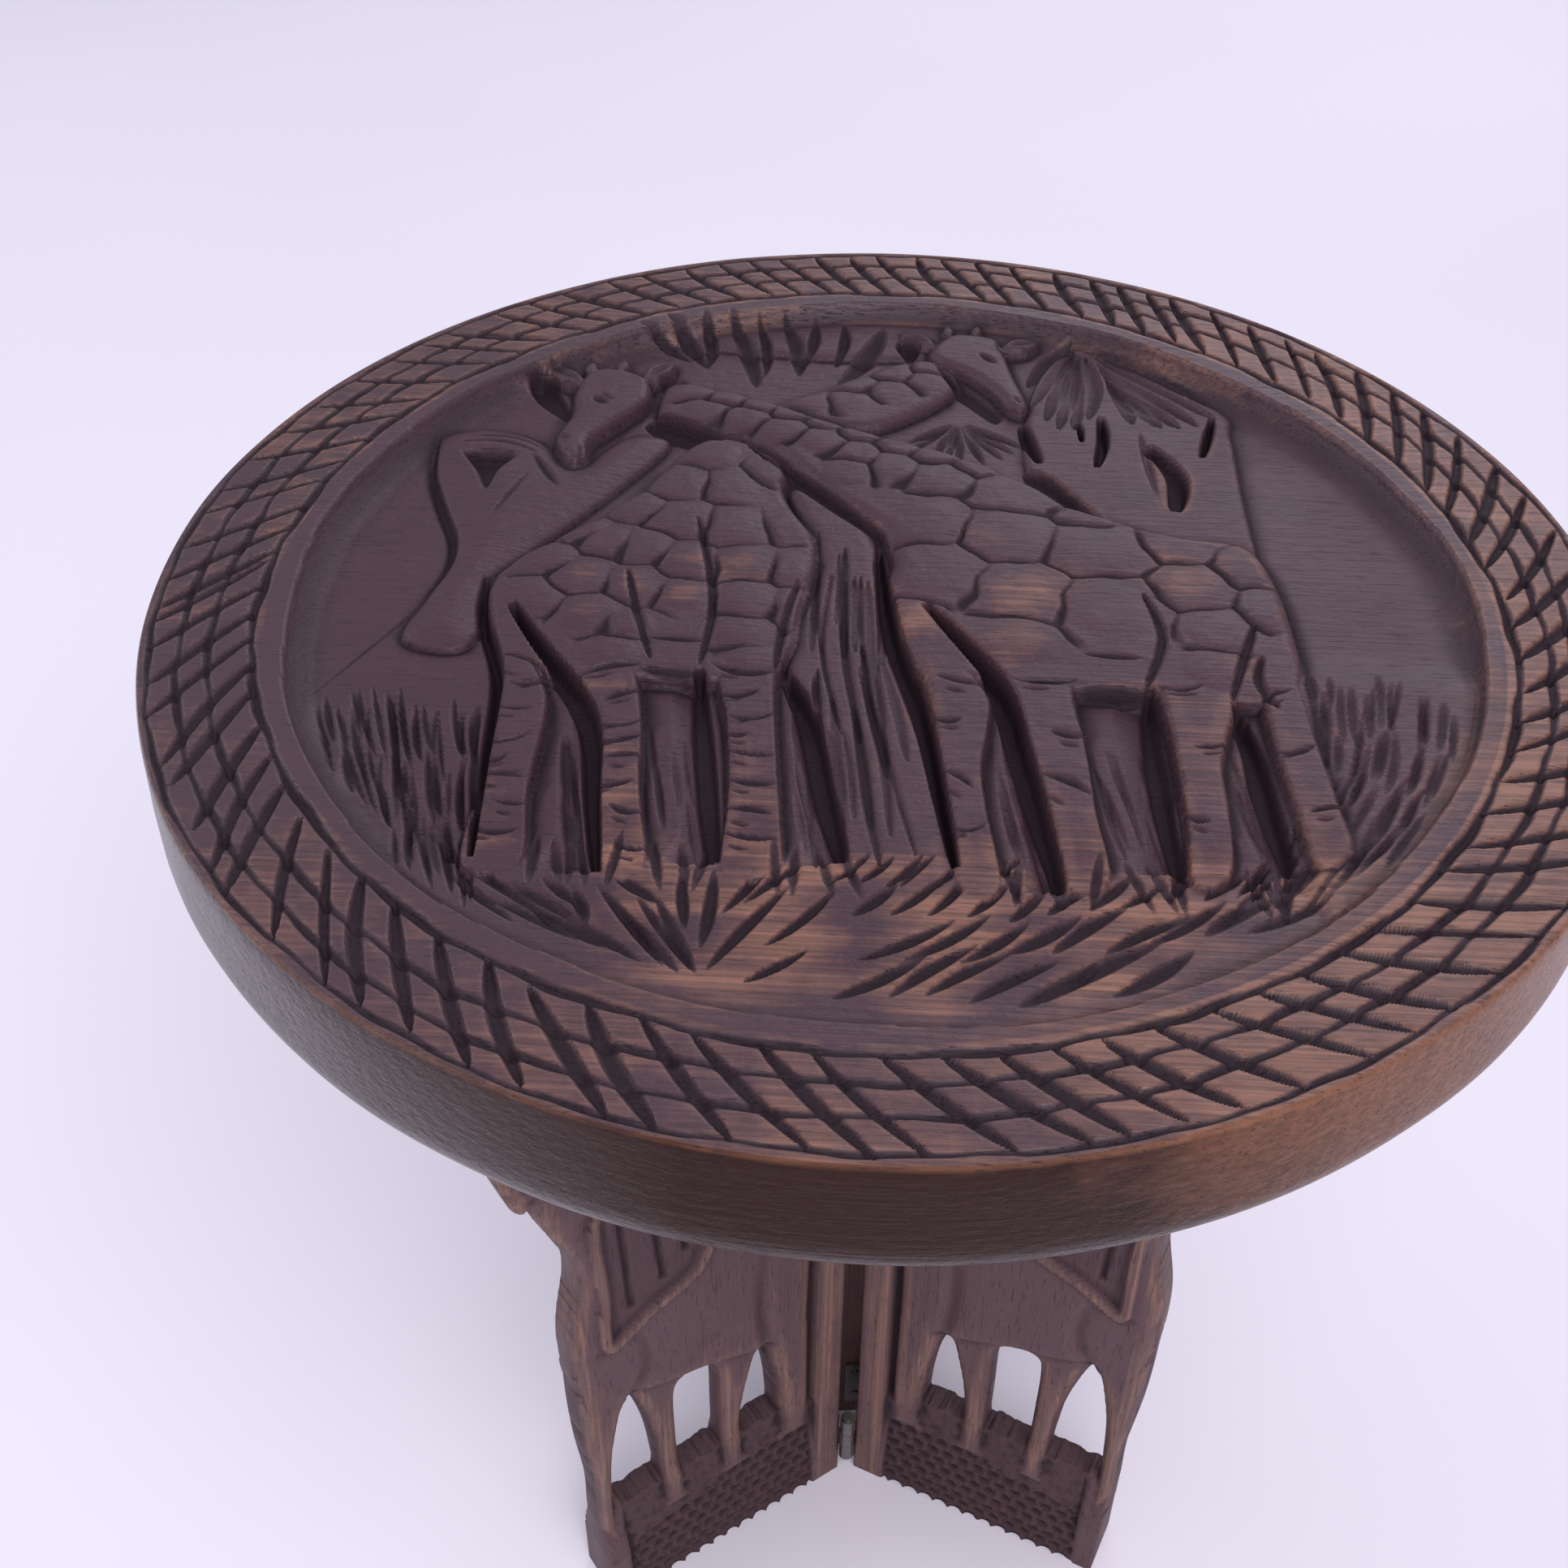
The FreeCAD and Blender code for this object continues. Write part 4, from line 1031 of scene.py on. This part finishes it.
def carved_wood(name, along, turn, stain, rubbed, deep, rough, mottle=1.0):
    """Stained hardwood, rubbed through to the bare wood where hands and cloths reach, with painted light and
    shade laid in by the marks on the mesh.
    """
    n = Nodes(name)

    def grain(lengthwise, across):
        return n.place(turn, tuple(lengthwise if k == along else across for k in range(3)))

    even = n.place()
    streak = n.noise(grain(9.0, 620.0), 1.0, 3.0, 0.6)
    bands = n.noise(grain(3.0, 70.0), 1.0, 3.0, 0.5)
    blotch = n.noise(even, 28.0, 6.0, 0.66)
    wear_and_light, hollow = n.mark("wear_and_light"), n.mark("hollow")
    rub = n.plus(wear_and_light, n.times(n.minus(blotch, 0.48), 1.1 * mottle))
    rub = n.plus(rub, n.times(n.minus(streak, 0.52), 0.35 * mottle))
    tone = n.mix(n.ramp(bands, 0.3, 0.7), shade(stain, 0.86), stain)
    bare = n.mix(n.ramp(streak, 0.35, 0.65), shade(rubbed, 1 - 0.5 * mottle), rubbed)
    colour = n.mix(n.ramp(rub, 0.38, 0.84), tone, bare)
    pores = n.ramp(n.noise(grain(120.0, 1500.0), 1.0, 2.0, 0.5), 0.62, 0.74)
    colour = n.mix(n.times(pores, 0.45), colour, deep)
    # cuts and hollows mixed towards the deep colour: painted shade, with the stain in the cuts
    colour = n.mix(n.times(n.ramp(hollow, 0.05, 0.95), 0.80), colour, deep)
    n.give("Base Color", colour)
    dull = n.plus(n.times(hollow, 0.22), n.times(blotch, 0.16))
    n.give("Roughness", n.plus(dull, rough))
    bright = n.minus(1.0, n.times(hollow, 0.5))
    n.give("Specular IOR Level", n.times(n.mark("shine"), bright))
    chatter = n.noise(even, 240.0, 3.0, 0.6)
    relief = n.plus(n.times(streak, 0.6), n.times(pores, -0.5))
    relief = n.plus(relief, n.times(chatter, 0.7))
    bump = n.add("ShaderNodeBump", {"Height": relief, "Strength": 0.8, "Distance": 0.0007})
    n.give("Normal", bump.outputs[0])
    return n.material


def dark_steel():
    n = Nodes("dark_steel")
    rust = n.ramp(n.noise(n.place(), 420.0, 5.0, 0.7), 0.52, 0.72)
    n.give("Base Color", n.mix(rust, (0.20, 0.185, 0.175, 1), (0.10, 0.055, 0.035, 1)))
    n.give("Metallic", n.minus(0.95, n.times(rust, 0.6)))
    n.give("Roughness", n.plus(0.32, n.times(rust, 0.35)))
    return n.material


def pale_floor():
    n = Nodes("pale_floor")
    soft = n.noise(n.place(), 1.6, 2.0, 0.5)
    n.give("Base Color", n.mix(soft, (0.82, 0.79, 0.88, 1), (0.89, 0.86, 0.95, 1)))
    n.give("Roughness", 0.8)
    n.give("Specular IOR Level", 0.1)
    return n.material


top_wood = carved_wood("top_wood", 0, -TOP_TURN, (0.056, 0.023, 0.035, 1), (0.245, 0.114, 0.082, 1),
                       (0.014, 0.009, 0.014, 1), 0.42)
side_wood = carved_wood("side_wood", 0, -TOP_TURN, (0.032, 0.013, 0.010, 1), (0.225, 0.102, 0.064, 1),
                        (0.008, 0.004, 0.004, 1), 0.18, mottle=0.5)
panel_wood = carved_wood("panel_wood", 2, 0.0, (0.100, 0.050, 0.057, 1), (0.215, 0.115, 0.092, 1),
                         (0.012, 0.008, 0.011, 1), 0.50)
steel = dark_steel()

top = make_top(top_wood, side_wood, 640)
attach(top, "top")
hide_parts("table_top")

pitch = 1.15
for side, azimuth in AZIMUTH.items():
    panel = make_panel("carved_%s_panel" % side, azimuth, REACH[side], panel_wood, pitch)
    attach(panel, "base_" + side)
    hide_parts(side + "_panel")

for node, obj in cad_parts.items():
    if "hinge" in node:
        obj.data.materials.clear()
        obj.data.materials.append(steel)


# Screws on the hinge leaves

SCREW_FACE = 9.5
SCREW_ASIDE = 5.8
SCREW_ROWS = (("front_fixed", "right", -1), ("rear_fixed", "right", 1), ("front_moving", "left", 1),
              ("rear_moving", "back", -1))


def add_screw(name, body, azimuth, n, z):
    """A slotted screw head, a low dome with a cut across it."""
    ring = 20
    verts, faces = [], []
    levels = ((2.1, 0.0), (2.1, 0.25), (1.5, 0.5))
    for radius, out in levels:
        for k in range(ring):
            a = 2 * math.pi * k / ring
            verts.append((SCREW_FACE - out, n + radius * math.cos(a), z + radius * math.sin(a)))
    for level in range(len(levels) - 1):
        for k in range(ring):
            a, b = level * ring + k, level * ring + (k + 1) % ring
            faces.append((a, a + ring, b + ring, b))
    faces.append(tuple(range(ring)))
    rim = 2 * ring
    slot = len(verts)
    for k in (1, 9, 11, 19):
        _, y, w = verts[rim + k]
        verts.append((SCREW_FACE - 0.2, y, w))
    faces += [
        tuple(range(rim + 1, rim + 10)), tuple(range(rim + 11, rim + 20)), tuple(range(slot, slot + 4)),
        (rim + 1, rim + 9, slot + 1, slot), (rim + 11, rim + 19, slot + 3, slot + 2),
        (rim, rim + 1, slot, slot + 3, rim + 19), (rim + 10, rim + 11, slot + 2, slot + 1, rim + 9),
    ]
    mesh = bpy.data.meshes.new(name)
    mesh.from_pydata([tuple(c * MM for c in v) for v in verts], [], faces)
    mesh.transform(Matrix.Rotation(math.radians(azimuth), 4, "Z"))
    mesh.materials.append(steel)
    obj = add_object(name, mesh)
    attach(obj, body)


for row, side, hand in SCREW_ROWS:
    for level, base in (("low", 10.0), ("high", PANEL_HEIGHT - 51.0)):
        for k, z in enumerate((6.0, 22.0), start=1):
            name = "%s_%s_screw_%d" % (row, level, k)
            add_screw(name, "base_" + side, AZIMUTH[side], hand * SCREW_ASIDE, base + z)


# Floor, light and camera

def add_floor():
    mesh = bpy.data.meshes.new("floor")
    w = 6.0
    mesh.from_pydata([(-w, -w, 0), (w, -w, 0), (w, w, 0), (-w, w, 0)], [], [(0, 1, 2, 3)])
    mesh.materials.append(pale_floor())
    obj = add_object("floor", mesh)


def add_lamp(name, place, target, size, power, colour):
    data = bpy.data.lights.new(name, "AREA")
    data.energy = power
    data.color = colour
    data.shape = "DISK"
    data.size = size
    obj = add_object(name, data)
    obj.location = place
    obj.rotation_euler = (Vector(target) - Vector(place)).to_track_quat("-Z", "Y").to_euler()


add_floor()
scene = bpy.context.scene
world = bpy.data.worlds.new("room")
world.use_nodes = True
sky = world.node_tree.nodes["Background"].inputs
sky["Color"].default_value = (0.90, 0.89, 1.0, 1)
sky["Strength"].default_value = 0.55
scene.world = world
add_lamp("overhead", (0.3, -1.4, 2.1), (-0.1, -0.65, 0.0), 1.5, 32.5, (1.0, 0.96, 0.98))
add_lamp("window", (-1.7, 0.9, 1.6), (-0.2, 0, 0.2), 1.5, 10.5, (0.96, 0.95, 1.0))
add_lamp("back", (1.0, 2.1, 1.7), (0, 0, 0.45), 2.0, 17.5, (0.95, 0.91, 1.0))
add_lamp("front", (0.2, -2.4, 0.95), (0, 0, 0.15), 1.5, 6.5, (1.0, 0.95, 0.97))

PHOTO_WIDTH_PX = 1932.0
PHOTO_FOCAL_PX = 2465.6
camera = bpy.data.cameras.new("camera")
camera.sensor_width = 36.0
camera.lens = camera.sensor_width * PHOTO_FOCAL_PX / PHOTO_WIDTH_PX
camera.clip_start, camera.clip_end = 0.01, 50.0


def camera_matrix():
    """The photograph's viewpoint, found from the rim's circle and the panels' feet."""
    def turned(degrees, axis):
        return Matrix.Rotation(math.radians(degrees), 4, axis)

    lift, aside, over, roll = 35.4913, -2.5135, -5.7895, 2.338
    away = 2.767 * TOP_RADIUS
    centre = Matrix.Translation((0, 0, RIM_HEIGHT * MM)) @ Matrix.Rotation(TOP_TURN, 4, "Z")
    orbit = turned(90 - lift, "X") @ Matrix.Translation((0, 0, away * MM))
    return centre @ orbit @ turned(-aside, "Y") @ turned(over, "X") @ turned(roll, "Z")


eye = add_object("camera", camera)
eye.matrix_world = camera_matrix()
scene.camera = eye
scene.view_settings.view_transform = "Standard"
